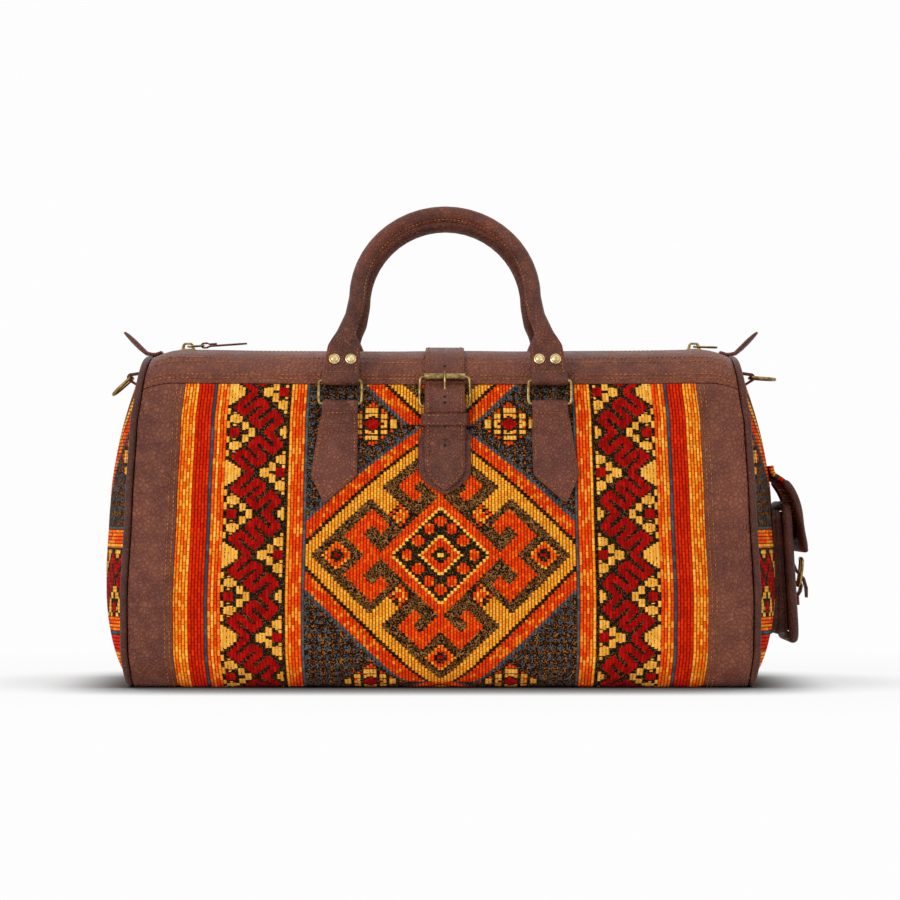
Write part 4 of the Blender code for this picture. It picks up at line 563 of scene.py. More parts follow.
def weave(mesh, across, up):
    """Give a mesh its weave: across and up, in metres from a medallion's middle, at each vertex."""
    index = corner_index(mesh)
    total = len(mesh.polygons)
    sides = np.empty(total, int)
    mesh.polygons.foreach_get("loop_total", sides)
    owner = np.repeat(np.arange(total), sides)
    a = np.bincount(owner, across[index], total) / sides
    b = np.bincount(owner, up[index], total) / sides
    length = np.where(np.abs(a) > 0.1129, LONG_STITCH, STITCH)
    layer = mesh.uv_layers.new(name="weave")
    spots = np.stack((across[index] / COLUMN + 400.0, up[index] / length[owner] + 400.0), -1)
    layer.data.foreach_set("uv", spots.ravel())
    column = np.floor(a / COLUMN)
    row = np.floor(b / length + 0.5 * (column % 2))
    x = (column + 0.5) * COLUMN / MM
    y = b / MM
    dye = np.zeros(total, int)

    def paint(name, where):
        dye[where] = NAMES.index(name)

    field(x, y, paint)
    stripes(x, y, paint)
    chance = np.abs(np.sin(column * 12.9898 + row * 78.233) * 43758.5453) % 1.0
    other = np.abs(np.sin(column * 39.346 + row * 11.135) * 24634.6345) % 1.0
    colour = np.zeros((total, 3))
    for k, shades in enumerate(PALETTE):
        mine = dye == k
        colour[mine] = shades[np.minimum((chance[mine] * len(shades)).astype(int), len(shades) - 1)]
    colour *= (0.88 + 0.24 * other)[:, None]
    layer = mesh.color_attributes.new("dye", "FLOAT_COLOR", "CORNER")
    corners = np.concatenate((colour[owner], COVER[dye][owner][:, None]), 1)
    layer.data.foreach_set("color", corners.ravel())
    return total


# %% [markdown]
# ## The woven front and back
# Each is one sheet, sewn in between the leather, so it sinks a little towards its seams and
# lies in faint waves between them. One grid square is half a float high and one column wide.

# %% Front and back panels
MEDALLION_V = 0.221


def seam_dip(distance, depth=0.9 * MM, width=3.0 * MM):
    return -depth * np.exp(-(distance / width) ** 2)


def waves(x, v):
    """Faint slack of cloth and leather, never proud of the frame."""
    swell = np.sin(x * 31.0 + v * 17.0) + np.sin(x * 13.0 - v * 29.0 + 1.7) + np.sin(x * 57.0 + v * 43.0 + 0.6)
    return 0.00013 * (swell - 3.0)


def kilim_sheet(name, back):
    edge_x = KILIM_HALF - SEAM_GAP / 2
    columns = 2 * math.ceil(edge_x / COLUMN)
    low, high = BASE_SEAM + SEAM_GAP / 2, TOP_SEAM - SEAM_GAP / 2
    rows = int(round((high - low) / CELL))
    mesh, s, t = grid(columns, rows)
    x = np.clip((np.round(s * columns) - columns / 2) * COLUMN, -edge_x, edge_x)
    v = lerp(low, high, t)
    edge = np.minimum(np.minimum(KILIM_HALF - np.abs(x), high - v), v - low)
    w = seam_dip(edge) + waves(x, v)
    put(mesh, skin(x, 2.0 * HALF_GIRTH - v, w) if back else skin(x, v, w))
    if back:
        mesh.flip_normals()
    count = weave(mesh, x, v - MEDALLION_V)
    made = piece(name, mesh, KILIM, "bag", (name.replace("cloth", "panel"),))
    print(name, columns, "columns,", count, "cells, flat %.3f x %.3f m" % (2 * KILIM_HALF, high - low))
    return made


kilim_sheet("front_kilim_cloth", False)
kilim_sheet("back_kilim_cloth", True)

# %% [markdown]
# ## The leather bands
# The bands at the ends and along the top are cut flat and turned under at their seams, which
# gives them a rounded edge. Each row of stitches pulls a shallow groove.


# %% Leather panels of the shell
def hide(name, node, x0, x1, v0, v1, nx, nv, grooves, finish=None, thickness=LEATHER_T, body="bag"):
    """A leather panel bent over the shell; grooves gives distances to stitch rows from (x, v)."""
    mesh, s, t = grid(nx, nv)
    x, v = lerp(x0, x1, s), lerp(v0, v1, t)
    w = waves(x, v) * 1.4
    for row in grooves(x, v):
        w = w - 0.35 * MM * np.exp(-(row / (1.1 * MM)) ** 2)
    put(mesh, skin(x, v, w))
    made = piece(name, mesh, finish or BAND_LEATHER, body, (node,))
    modify(made, "SOLIDIFY", thickness=thickness * 0.9, offset=-1.0)
    soft_edge(made, 1.0 * MM, 3)
    return made


BAND_ROWS = (2.6 * MM, 6.4 * MM)
TOP_ROWS = (4.6 * MM, 8.0 * MM)
ZIP_EDGE = HALF_GIRTH - 0.018 / 2
for face in ("front", "back"):
    low, high = BASE_SEAM + SEAM_GAP / 2, TOP_SEAM - SEAM_GAP / 2
    top_low, top_high = TOP_SEAM + SEAM_GAP / 2, ZIP_EDGE
    if face == "back":
        low, high = 2 * HALF_GIRTH - high, 2 * HALF_GIRTH - low
        top_low, top_high = 2 * HALF_GIRTH - top_high, 2 * HALF_GIRTH - top_low
    for side, way in (("left", -1), ("right", 1)):
        inner, outer = way * (KILIM_HALF + SEAM_GAP / 2), way * END_EDGE
        x0, x1 = min(inner, outer), max(inner, outer)
        hide("%s_%s_leather" % (face, side), "%s_%s_band" % (face, side), x0, x1, low, high, 16, 110,
             lambda x, v, inner=inner: [np.abs(x - inner) - row for row in BAND_ROWS])
    seam = top_low if face == "front" else top_high
    hide(face + "_top_leather", "top_band_" + face, -END_EDGE, END_EDGE, top_low, top_high, 190, 44,
         lambda x, v, seam=seam: [np.abs(v - seam) - row for row in TOP_ROWS])
hide("base_leather", "base_panel", -END_EDGE, END_EDGE, -BASE_SEAM + SEAM_GAP / 2, BASE_SEAM - SEAM_GAP / 2,
     60, 30, lambda x, v: [])
print("leather panels of the shell: 7")

# %% [markdown]
# ## The woven ends
# Each end is one piece of the same cloth, turned so that its stripes run level, and drawn
# into a low dome by its round seam. Its grid follows the seam's own outline.

# %% The outline of an end
PIPE_STATION = HALF_LENGTH - PIPING_R
END_TUCK = 0.0031
END_MIDDLE = 0.122


def welt_depth(v):
    v = np.minimum(v, 2.0 * HALF_GIRTH - v)
    return lerp(PIPING_R + SEAT_GAP, PIPING_SINK, smooth((v - TURN_V) / (WALL_V - TURN_V)))


def outline(x, tuck, count=260):
    """The whole girth at a station, set in from the middle of the piping by tuck."""
    v = np.linspace(0.0, 2.0 * HALF_GIRTH, count, endpoint=False)
    return upright(x, v, -welt_depth(v) - tuck)


RIM = outline(PIPE_STATION, END_TUCK)
RIM_ANGLE = np.arctan2(RIM[:, 2] - END_MIDDLE, -RIM[:, 1])
RIM_ORDER = np.argsort(RIM_ANGLE)
RIM_FAR = np.hypot(RIM[:, 1], RIM[:, 2] - END_MIDDLE)[RIM_ORDER]
RIM_ANGLE = RIM_ANGLE[RIM_ORDER]


def end_face(y, z, lift=0.0):
    """How far out the right end stands at (y, z)."""
    angle = np.arctan2(z - END_MIDDLE, -y)
    far = np.interp(angle, RIM_ANGLE, RIM_FAR, period=2.0 * math.pi)
    share = np.minimum(1.0, np.hypot(y, z - END_MIDDLE) / far)
    rim_z = END_MIDDLE + far * np.sin(angle)
    power = lerp(4.0, 2.0, z / BODY_HEIGHT)
    x = HALF_LENGTH * lerp(reach(END_MIDDLE), reach(rim_z), share)
    return x - 0.002 + END_BULGE * (1.0 - share ** power) + lift


# %% The end cloths
def end_sheet(name, side):
    """The woven end; s runs up the front edge of the outline, t across."""
    nz, ny = 190, 200
    mesh, t, s = grid(ny, nz)
    flank = upright(np.full(200, PIPE_STATION), np.linspace(TURN_V * 0.985, RUN[160], 200),
                    -welt_depth(np.linspace(TURN_V * 0.985, RUN[160], 200)) - END_TUCK)
    rise = np.linspace(0.0, 1.0, 200)
    half = np.interp(s, rise, -flank[:, 1])
    z = np.interp(s, rise, flank[:, 2])
    y = (2.0 * t - 1.0) * half
    crown_v = HALF_GIRTH - np.abs(y) * (HALF_GIRTH - RUN[160]) / -flank[-1, 1]
    crown = upright(np.full(len(y), PIPE_STATION), crown_v, -welt_depth(crown_v) - END_TUCK)[:, 2]
    z = z + (crown - flank[-1, 2]) * s ** 6
    x = end_face(y, z)
    put(mesh, np.stack((side * x, y, z), -1))
    if side < 0:
        mesh.flip_normals()
    weave(mesh, 0.111 + (0.128 - z) / 1.08, y)
    made = piece(name, mesh, KILIM, "bag", (name.replace("cloth", "panel"),))
    width = np.linalg.norm(np.diff(outline(PIPE_STATION, END_TUCK), axis=0), axis=1).sum()
    print(name, "round seam %.3f m" % width)
    return made


for side_name, side in (("left", -1), ("right", 1)):
    cloth = end_sheet(side_name + "_end_cloth", side)

# %% [markdown]
# ## Sewn and rolled leather
# Straps, patches and handles are closed strips. One tool makes them all: a ring of points is
# carried along a line, the rings are laid on a grid whose long edges are welded, and the
# ends close on themselves. A ring is a squared oval, so a strip has a soft burnished edge.


# %% The strip tool
def tube(rings, caps=True, closed=False):
    """A welded mesh from rings of points, given as an array of rings by points by 3."""
    rings = np.asarray(rings, float)
    if caps:
        first, last = rings[0].mean(0), rings[-1].mean(0)
        rings = np.concatenate(([rings[0] * 0 + first], [first + (rings[0] - first) * 0.75], rings,
                                [last + (rings[-1] - last) * 0.75], [rings[-1] * 0 + last]))
    n, m = rings.shape[:2]
    mesh, s, t = grid(m, n if closed else n - 1)
    i = np.round(s * m).astype(int) % m
    j = np.round(t * (n if closed else n - 1)).astype(int) % n
    put(mesh, rings[j, i])
    bm = bmesh.new()
    bm.from_mesh(mesh)
    bmesh.ops.remove_doubles(bm, verts=bm.verts, dist=1e-6)
    bmesh.ops.recalc_face_normals(bm, faces=bm.faces)
    bm.to_mesh(mesh)
    bm.free()
    return mesh


def oval(count, squareness):
    """Unit squared oval: 2 is round, 6 is nearly a flat strip."""
    a = np.linspace(0.0, 2.0 * math.pi, count, endpoint=False)
    c, s = np.cos(a), np.sin(a)
    power = 2.0 / np.asarray(squareness, float)[..., None]
    return np.sign(c) * np.abs(c) ** power, np.sign(s) * np.abs(s) ** power


def resample(rows, step, first=0, width=2):
    """Even steps along a line; columns first..first+width give its place, the rest ride along."""
    rows = np.asarray(rows, float)
    place = rows[:, first:first + width]
    run = np.concatenate(([0.0], np.cumsum(np.linalg.norm(np.diff(place, axis=0), axis=1))))
    count = max(4, int(run[-1] / step))
    at = np.linspace(0.0, run[-1], count)
    return np.stack([np.interp(at, run, rows[:, k]) for k in range(rows.shape[1])], 1)


def soften(rows, rounds=2):
    rows = np.array(rows, float)
    for _ in range(rounds):
        rows[1:-1] = (rows[:-2] + 2.0 * rows[1:-1] + rows[2:]) / 4.0
    return rows


def arc(centre, radius, start, end, count):
    angles = np.radians(np.linspace(start, end, count + 1))
    return [(centre[0] + radius * math.cos(a), centre[1] + radius * math.sin(a)) for a in angles]


def ribbon(path, thickness, form, shift, step=1.6 * MM, rounds=2):
    """A strip along rows of (v, w, left, right), as thick as given, over a form."""
    rows = soften(resample(path, step), rounds)
    run = np.gradient(rows[:, :2], axis=0)
    run /= np.linalg.norm(run, axis=1, keepdims=True)
    ox, ot = oval(28, np.full(len(rows), 7.0))
    middle, half = (rows[:, 2] + rows[:, 3]) / 2, (rows[:, 3] - rows[:, 2]) / 2
    x = shift + middle[:, None] + half[:, None] * ox
    v = rows[:, :1] - run[:, 1:] * ot * thickness / 2
    w = rows[:, 1:2] + run[:, :1] * ot * thickness / 2
    return tube(form(x, v, w)), rows


def front_or_back(side):
    if side > 0:
        return skin
    return lambda x, v, w: skin(x, 2.0 * HALF_GIRTH - v, w)


# %% Thread
def thread(name, base="#c47a38", dark="#8e4e22"):
    made, tree, shader, where = start(name)
    twist = add(tree, "TexWave", {"bands_direction": "DIAGONAL"}, Vector=where, Scale=900.0,
                Distortion=0.6).outputs["Fac"]
    patchy = noise(tree, where, 120.0, 1.0)
    tree.links.new(mix(tree, ramp(tree, patchy, 0.35, 0.65), srgb(dark), srgb(base)), shader.inputs["Base Color"])
    bump = add(tree, "Bump", Strength=0.5, Distance=0.0001, Height=twist)
    tree.links.new(bump.outputs["Normal"], shader.inputs["Normal"])
    shader.inputs["Roughness"].default_value = 0.8
    shader.inputs["Specular IOR Level"].default_value = 0.08
    return made


THREAD = thread("waxed_thread")
stitch_total = 0


def stitches(name, rows, body="bag", pitch=3.6 * MM, long=2.8 * MM, radius=0.42 * MM):
    """Rows of thread: each row is points on the leather and their normals, as two arrays."""
    global stitch_total
    bm = bmesh.new()
    for points, normals in rows:
        both = resample(np.concatenate((points, normals), 1), pitch, 0, 3)
        run = np.gradient(both[:, :3], axis=0)
        for place, n, t in zip(both[1:-1, :3], both[1:-1, 3:], run[1:-1]):
            t, n = Vector(t).normalized(), Vector(n).normalized()
            b = n.cross(t).normalized()
            n = t.cross(b)
            slant = random.uniform(-0.09, 0.09)
            t = (t + b * slant).normalized()
            b = n.cross(t)
            size = random.uniform(0.92, 1.06)
            spot = Vector(place) + n * radius * 0.45
            matrix = bpy_matrix(t * long / 2 * size, b * radius, n * radius * 0.9, spot)
            bmesh.ops.create_icosphere(bm, subdivisions=1, radius=1.0, matrix=matrix)
            stitch_total += 1
    mesh = bpy.data.meshes.new(name)
    bm.to_mesh(mesh)
    bm.free()
    return piece(name, mesh, THREAD, body)


def bpy_matrix(x, y, z, place):
    """The placing of a unit shape by its three axes and its middle."""
    return Matrix.Translation(place) @ Matrix((x, y, z)).transposed().to_4x4()


def row_on(x, v, w=0.0):
    """A stitch row from arrays of stations and runs on the shell."""
    x, v, w = np.broadcast_arrays(np.asarray(x, float), np.asarray(v, float), np.asarray(w, float))
    return skin(x, v, w), normal(x, v)


# %% Seam threads of the shell
rows = []
GROOVE = -0.35 * MM
span = np.linspace(0.0, 1.0, 200)
for back in (False, True):
    turn = (lambda v: 2.0 * HALF_GIRTH - v) if back else (lambda v: v)
    for way in (-1, 1):
        for off in BAND_ROWS:
            x = way * (KILIM_HALF + SEAM_GAP / 2 + off)
            rows.append(row_on(x, turn(lerp(BASE_SEAM + 0.002, TOP_SEAM - 0.001, span)), GROOVE))
stitches("band_stitches", rows)
rows = []
UPPER_ROWS = [float(np.interp(z, HIGH[60:], RUN[60:])) for z in (0.2642, 0.2680)]
for back in (False, True):
    turn = (lambda v: 2.0 * HALF_GIRTH - v) if back else (lambda v: v)
    x = lerp(-END_EDGE + 0.004, END_EDGE - 0.004, span)
    for run in [TOP_SEAM + off for off in TOP_ROWS] + UPPER_ROWS + [ZIP_EDGE - 0.003]:
        rows.append(row_on(x, turn(run), GROOVE * (0.6 if run < UPPER_ROWS[0] else 1.5)))
stitches("top_stitches", rows)
print("seam stitches:", stitch_total)

# %% [markdown]
# ## Patches and rings
# Each ring hangs on a pointed leather patch, folded over its lower bar and sewn flat along
# its edge. The patch is one strip, whose path goes up, round the bar and down behind.

# %% Patches
RING_Z = BODY_HEIGHT - 0.0475
HANDLE_SPREAD = 0.0842
RING_WIRE_R, RING_HEIGHT, RING_LEAN = 0.0016, 0.0224, 4.0
PATCH_T = 0.0021
PATCH_HALF, PATCH_LENGTH, PATCH_TIP, PATCH_FLARE, PATCH_TAIL = 0.0148, 0.080, 0.022, 0.011, 0.016
BAR_V = run_at(RING_Z)


def patch(side_name, side, mirror):
    which = "right" if mirror else "left"
    bar_w = SEAT_GAP * 2 + PATCH_T + RING_WIRE_R
    turn_r = RING_WIRE_R + SEAT_GAP + PATCH_T / 2
    low_w = SEAT_GAP + PATCH_T / 2
    over_w = low_w + PATCH_T + SEAT_GAP
    path = [(BAR_V - PATCH_LENGTH, low_w), (BAR_V - PATCH_LENGTH + PATCH_TIP * 0.5, low_w),
            (BAR_V - PATCH_LENGTH + PATCH_TIP, low_w), (BAR_V - 0.034, low_w),
            (BAR_V - 0.024, low_w + 0.0004), (BAR_V - 0.0185, over_w), (BAR_V - 0.010, over_w),
            (BAR_V - 0.005, bar_w + turn_r * 0.75)]
    path += [(BAR_V + r, bar_w + t) for r, t in arc((0.0, 0.0), turn_r, 90, -90, 10)]
    path += [(BAR_V - 0.006, low_w), (BAR_V - PATCH_TAIL, low_w)]
    rows = []
    for v, w in path:
        down = BAR_V - v
        left, right = -PATCH_HALF, PATCH_HALF
        if down > 0.012:
            left = -lerp(PATCH_HALF + 0.0015, PATCH_HALF + PATCH_FLARE, (down - 0.012) / (PATCH_LENGTH - 0.012))
            right = PATCH_HALF + 0.0005
        rows.append([v, w, left, right])
    rows[0][2:] = (-0.0120, -0.0100)
    rows[1][2:] = (lerp(rows[2][2], -0.0120, 0.5), lerp(rows[2][3], -0.0100, 0.5))
    if mirror:
        rows = [[v, w, -right, -left] for v, w, left, right in rows]
    shift = (FITTING_SHIFT + (HANDLE_SPREAD if mirror else -HANDLE_SPREAD)) / float(reach(RING_Z))
    form = front_or_back(side)
    mesh, _ = ribbon(rows, PATCH_T, form, shift, 1.5 * MM, 1)
    name = "%s_%s_patch" % (side_name, which)
    piece(name + "_leather", mesh, STRAP_LEATHER, "bag", (name,))
    inset, way = 0.0027, -1.0 if mirror else 1.0
    corners = [(inset - PATCH_HALF, 0.0075), (-0.0165 + inset, 0.0165), (-0.0228 + inset, 0.0575),
               (-0.0110, PATCH_LENGTH - inset * 1.35), (0.0153 - inset, 0.0575),
               (0.0153 - inset, 0.0165), (PATCH_HALF - inset, 0.0075), (inset - PATCH_HALF, 0.0075)]
    line = resample([(shift + way * x, BAR_V - down) for x, down in corners], 0.5 * MM)
    down = BAR_V - line[:, 1]
    doubled = low_w * 2 + PATCH_T + SEAT_GAP
    lift = np.interp(down, (0.0075, 0.0100, 0.0165, 0.0185, 0.0240),
                     ((over_w + bar_w + turn_r * 0.75 + PATCH_T) / 2 + SEAT_GAP, doubled, doubled,
                      low_w + PATCH_T * 1.6, PATCH_T + SEAT_GAP))
    v = line[:, 1] if side > 0 else 2.0 * HALF_GIRTH - line[:, 1]
    return row_on(line[:, 0], v, lift - 0.05 * MM)


for side_name, side in (("front", 1), ("back", -1)):
    stitches(side_name + "_patch_stitches", [patch(side_name, side, mirror) for mirror in (False, True)],
             pitch=3.1 * MM, long=2.3 * MM, radius=0.40 * MM)
print("patches: 4")

# %% [markdown]
# ## Brass
# The rings, buckles and sliders are cast and antiqued: dark in the hollows, rubbed to a
# warm gold where hands and leather polish them. Their shapes come from the frame; merging
# and subdividing a copy turns the faceted wire into a round one.


# %% Brass finish
def brass(name, base, dark, rough=0.27):
    made, tree, shader, where = start(name)
    patina = noise(tree, where, 260.0, 4.0)
    speck = noise(tree, where, 1600.0, 2.0)
    tone = mix(tree, ramp(tree, patina, 0.38, 0.62), srgb(dark), srgb(base))
    tree.links.new(mix(tree, ramp(tree, speck, 0.58, 0.78, 0.0, 0.35), tone, srgb(dark)), shader.inputs["Base Color"])
    tree.links.new(ramp(tree, patina, 0.3, 0.7, rough + 0.16, rough), shader.inputs["Roughness"])
    bump = add(tree, "Bump", Strength=0.12, Distance=0.0002, Height=speck)
    tree.links.new(bump.outputs["Normal"], shader.inputs["Normal"])
    shader.inputs["Metallic"].default_value = 1.0
    return made


BRASS = brass("antique_brass", "#a8905a", "#76603a")
RIVET_BRASS = brass("polished_brass", "#dcc694", "#b89c66", 0.20)
ZIP_METAL = brass("zip_brass", "#8f7440", "#4a3a20", 0.40)


def cast(node, levels=2, finish=None):
    """A merged, rounded copy of a metal node."""
    made = piece(node + "_metal", merged_copy(node), finish or BRASS, BODY_OF[node], (node,))
    modify(made, "SUBSURF", levels=levels, render_levels=levels)
    return made


for node in ("front_left_ring", "front_right_ring", "back_left_ring", "back_right_ring", "left_d_ring",
             "right_d_ring", "buckle_frame", "buckle_prong", "pocket_buckle", "left_pull_link", "right_pull_link"):
    cast(node)
roller = piece("buckle_roller_metal", merged_copy("buckle_roller"), BRASS, "roller", ("buckle_roller",))
soft_edge(roller, 0.35 * MM)
for node in ("left_slider", "right_slider"):
    made = piece(node + "_metal", merged_copy(node), BRASS, BODY_OF[node], (node,))
    soft_edge(made, 0.5 * MM, 3)
print("cast pieces: 14")

# %% [markdown]
# ## Handles
# A rolled handle is a cord wrapped in leather and closed by a seam on its inner side. Its
# ends are left flat, go round a ring and are riveted through both layers. The section
# changes from a flat strip to a round roll along one line.

# %% Handle line
HANDLE_R, HANDLE_RISE, HANDLE_LEG, HANDLE_HALF, HANDLE_LEAN = 0.0062, 0.146, 0.072, 0.0715, 20.0
TAB_T, TAB_HALF, TAB_LENGTH, TAB_NECK = 0.0024, 0.0145, 0.030, 0.040
RIVET_RISE, RIVET_SPREAD, RIVET_R, RIVET_DOME = 0.0175, 0.0066, 0.0044, 0.0022


def handle_frame(side):
    """Middle between the upper bars, and the ways up the handle and out of its plane."""
    bar_w = SEAT_GAP * 2 + PATCH_T + RING_WIRE_R
    low = skin(HANDLE_SPREAD / float(reach(RING_Z)), BAR_V, bar_w)
    low[0] = FITTING_SHIFT
    lean, tip = math.radians(HANDLE_LEAN), math.radians(RING_LEAN)
    origin = low + np.array((0.0, math.sin(tip), math.cos(tip))) * (RING_HEIGHT - 2 * RING_WIRE_R)
    rise = np.array((0.0, math.sin(lean), math.cos(lean)))
    out = np.array((0.0, -math.cos(lean), math.sin(lean)))
    if side < 0:
        origin[1], rise[1], out[1] = -origin[1], -rise[1], -out[1]
    return origin, rise, out


def handle_line():
    """Rows of x, s, w, half width, half thickness and squareness, from the left tail to the top."""
    lay = TAB_T / 2 + SEAT_GAP / 2
    turn_r = RING_WIRE_R + SEAT_GAP + TAB_T / 2
    flat = [(TAB_LENGTH - 0.002, -lay, TAB_HALF - 0.0015), (0.012, -lay, TAB_HALF - 0.0006),
            (0.0045, -turn_r * 0.86, TAB_HALF)]
    flat += [(r, -t, TAB_HALF) for r, t in arc((0.0, 0.0), turn_r, 90, 270, 10)]
    flat += [(0.0045, turn_r * 0.86, TAB_HALF), (0.012, lay, TAB_HALF - 0.0006), (0.020, lay, TAB_HALF - 0.0008)]
    rows = [(-lerp(HANDLE_SPREAD, HANDLE_SPREAD - 0.004, max(0.0, s) / TAB_NECK), s, w, half, TAB_T / 2, 7.0)
            for s, w, half in flat]
    rows.append((-HANDLE_SPREAD + 0.0030, 0.0285, lay, TAB_HALF - 0.0012, 0.0016, 6.0))
    rows.append((-HANDLE_SPREAD + 0.0036, 0.0345, lay * 0.6, 0.0106, 0.0038, 3.6))
    rows.append((-HANDLE_SPREAD + 0.0044, 0.0410, lay * 0.2, 0.0074, 0.0058, 2.3))
    rows.append((-(HANDLE_HALF + 0.0030), 0.0560, 0.0, HANDLE_R * 1.02, HANDLE_R, 2.0))
    for k in range(0, 13):
        a = math.pi * k / 24
        rows.append((-HANDLE_HALF * math.cos(a), HANDLE_LEG + (HANDLE_RISE - HANDLE_LEG) * math.sin(a), 0.0,
                     HANDLE_R, HANDLE_R, 2.0))
    return rows


# %% Handles
def spun(profile, count=28):
    """A turned shape round Z from (radius, height) points."""
    bm = bmesh.new()
    verts = [bm.verts.new((r, 0.0, z)) for r, z in profile]
    edges = [bm.edges.new(pair) for pair in zip(verts, verts[1:])]
    bmesh.ops.spin(bm, geom=verts + edges, cent=(0, 0, 0), axis=(0, 0, 1), dvec=(0, 0, 0),
                   angle=math.tau, steps=count, use_merge=True, use_duplicate=False)
    bmesh.ops.remove_doubles(bm, verts=bm.verts, dist=1e-6)
    bmesh.ops.recalc_face_normals(bm, faces=bm.faces)
    mesh = bpy.data.meshes.new("spun")
    bm.to_mesh(mesh)
    bm.free()
    return mesh


def handle(side_name, side):
    origin, rise, out = handle_frame(side)
    half = handle_line()
    other = [(-x, s, w, a, b, e) for x, s, w, a, b, e in reversed(half[:-1])]
    rows = soften(resample(half + other, 1.3 * MM, 0, 3), 2)
    rows[:, 0] = (rows[:, 0] - rows[::-1, 0]) / 2
    run = np.gradient(rows[:, :3], axis=0)
    run /= np.linalg.norm(run, axis=1, keepdims=True)
    thick = np.cross((1.0, 0.0, 0.0), run) * np.where(rows[:, 0] > 0.0, -1.0, 1.0)[:, None]
    round_part = rows[:, 1] > TAB_NECK
    thick[round_part] = (0.0, 0.0, 1.0)
    thick = soften(thick, 3)
    wide = np.cross(run, thick)
    wide /= np.linalg.norm(wide, axis=1, keepdims=True)
    thick = np.cross(wide, run)
    count = 44
    ox, ot = oval(count, rows[:, 5])
    angle = np.linspace(0.0, 2.0 * math.pi, count, endpoint=False)
    inner = math.pi if np.dot(wide[len(wide) // 2], (0.0, 1.0, 0.0)) > 0 else 0.0
    away = np.abs((angle - inner + math.pi) % (2 * math.pi) - math.pi)
    ridge = 1.25 * MM * np.exp(-(away / 0.16) ** 2)[None, :] * smooth((rows[:, 1] - 0.046) / 0.012)[:, None]
    swell = 1.0 + ridge / HANDLE_R
    local = (rows[:, None, :3] + wide[:, None, :] * (ox * swell)[..., None] * rows[:, None, 3:4]
             + thick[:, None, :] * (ot * swell)[..., None] * rows[:, None, 4:5])

    def world(p):
        p = np.asarray(p, float)
        return origin + p[..., :1] * (1.0, 0.0, 0.0) + p[..., 1:2] * rise + p[..., 2:3] * out

    def direction(p):
        return world(p) - origin

    mesh = tube(world(local))
    body = BODY_OF[side_name + "_handle"]
    piece(side_name + "_handle_leather", mesh, HANDLE_LEATHER, body, (side_name + "_handle",))
    sign = 1.0 if inner == 0.0 else -1.0
    up = rows[:, 1] > 0.050
    seam = []
    for tip in (-1.0, 1.0):
        off = wide * sign * HANDLE_R * 0.93 + thick * tip * HANDLE_R * 0.40
        n = wide * sign * 0.9 + thick * tip * 0.45
        seam.append((world((rows[:, :3] + off)[up]), direction(n[up])))
    for way in (-1, 1):
        for face in (-1, 1):
            lay = TAB_T + SEAT_GAP
            loop = [(-0.0112, 0.0295), (-0.0116, 0.006), (0.0116, 0.006), (0.0112, 0.0295)]
            line = resample([(x, s) for x, s in loop], 0.5 * MM)
            x = way * lerp(HANDLE_SPREAD, HANDLE_SPREAD - 0.004, line[:, 1] / TAB_NECK) + line[:, 0]
            lift = np.interp(line[:, 1], (0.0, 0.006, 0.012), (lay * 1.5, lay * 1.25, lay))
            spots = np.stack((x, line[:, 1], face * lift), 1)
            seam.append((world(spots), np.broadcast_to(out * face, spots.shape)))
    stitches(side_name + "_handle_stitches", seam, body, 3.1 * MM, 2.3 * MM, 0.40 * MM)
    face = TAB_T + SEAT_GAP * 1.5
    for sx, where in ((-1, "left"), (1, "right")):
        for sr, which in ((-1, "a"), (1, "b")):
            node = "%s_%s_rivet_%s" % (side_name, where, which)
            profile = [(0.0, face + RIVET_DOME)] + [
                (RIVET_R * 0.78 * math.sin(a), face + 0.0007 + (RIVET_DOME - 0.0007) * math.cos(a))
                for a in np.radians((25, 50, 72, 90))]
            profile += [(RIVET_R * 0.86, face + 0.0004), (RIVET_R * 0.97, face + 0.0005), (RIVET_R, face + 0.0001),
                        (RIVET_R * 0.98, face - 0.0001), (0.0014, face - 0.0001), (0.0014, -face + 0.0001),
                        (0.0036, -face + 0.0001), (0.0036, -face - 0.0007), (0.0, -face - 0.0008)]
            stud = spun(profile)
            x = sx * HANDLE_SPREAD - sx * 0.0018 + sr * RIVET_SPREAD
            spot = world((x, RIVET_RISE, 0.0))
            co = np.empty(len(stud.vertices) * 3)
            stud.vertices.foreach_get("co", co)
            co = co.reshape(-1, 3)
            put(stud, spot + co[:, :1] * (1.0, 0.0, 0.0) + co[:, 1:2] * rise + co[:, 2:3] * out)
            if side < 0:
                stud.flip_normals()
            piece(node + "_stud", stud, RIVET_BRASS, body, (node,))


for side_name, side in (("front", 1), ("back", -1)):
    handle(side_name, side)
print("handles: 2, stitches so far:", stitch_total)

# %% [markdown]
# ## The closing strap and its buckle
# The strap is sewn to the back, comes over the zip, passes the roller buckle and ends under a
# keeper, on the wider strap that holds the buckle. All three follow the shell.

# %% Strap paths
STRAP_WIDTH, STRAP_T = 0.0335, 0.0024
STRAP_TIP, STRAP_POINT, STRAP_BACK = BODY_HEIGHT - 0.1175, 0.0185, 0.190
HOLDER_WIDTH, HOLDER_T, HOLDER_TIP, HOLDER_POINT, HOLDER_TAIL = 0.0430, 0.0020, BODY_HEIGHT - 0.1205, 0.0185, 0.017
BUCKLE_HEIGHT, BUCKLE_WIRE_R = 0.0270, 0.0015
KEEPER_T, KEEPER_WIDTH, KEEPER_DROP = 0.0010, 0.0100, 0.0062
ROLLER_R = 0.0028
HINGE_V = run_at(BODY_HEIGHT - 0.0498)
HINGE_W = 2 * SEAT_GAP + KEEPER_T + HOLDER_T + SEAT_GAP + BUCKLE_WIRE_R
ROLLER_V = HINGE_V + BUCKLE_HEIGHT - 2 * BUCKLE_WIRE_R


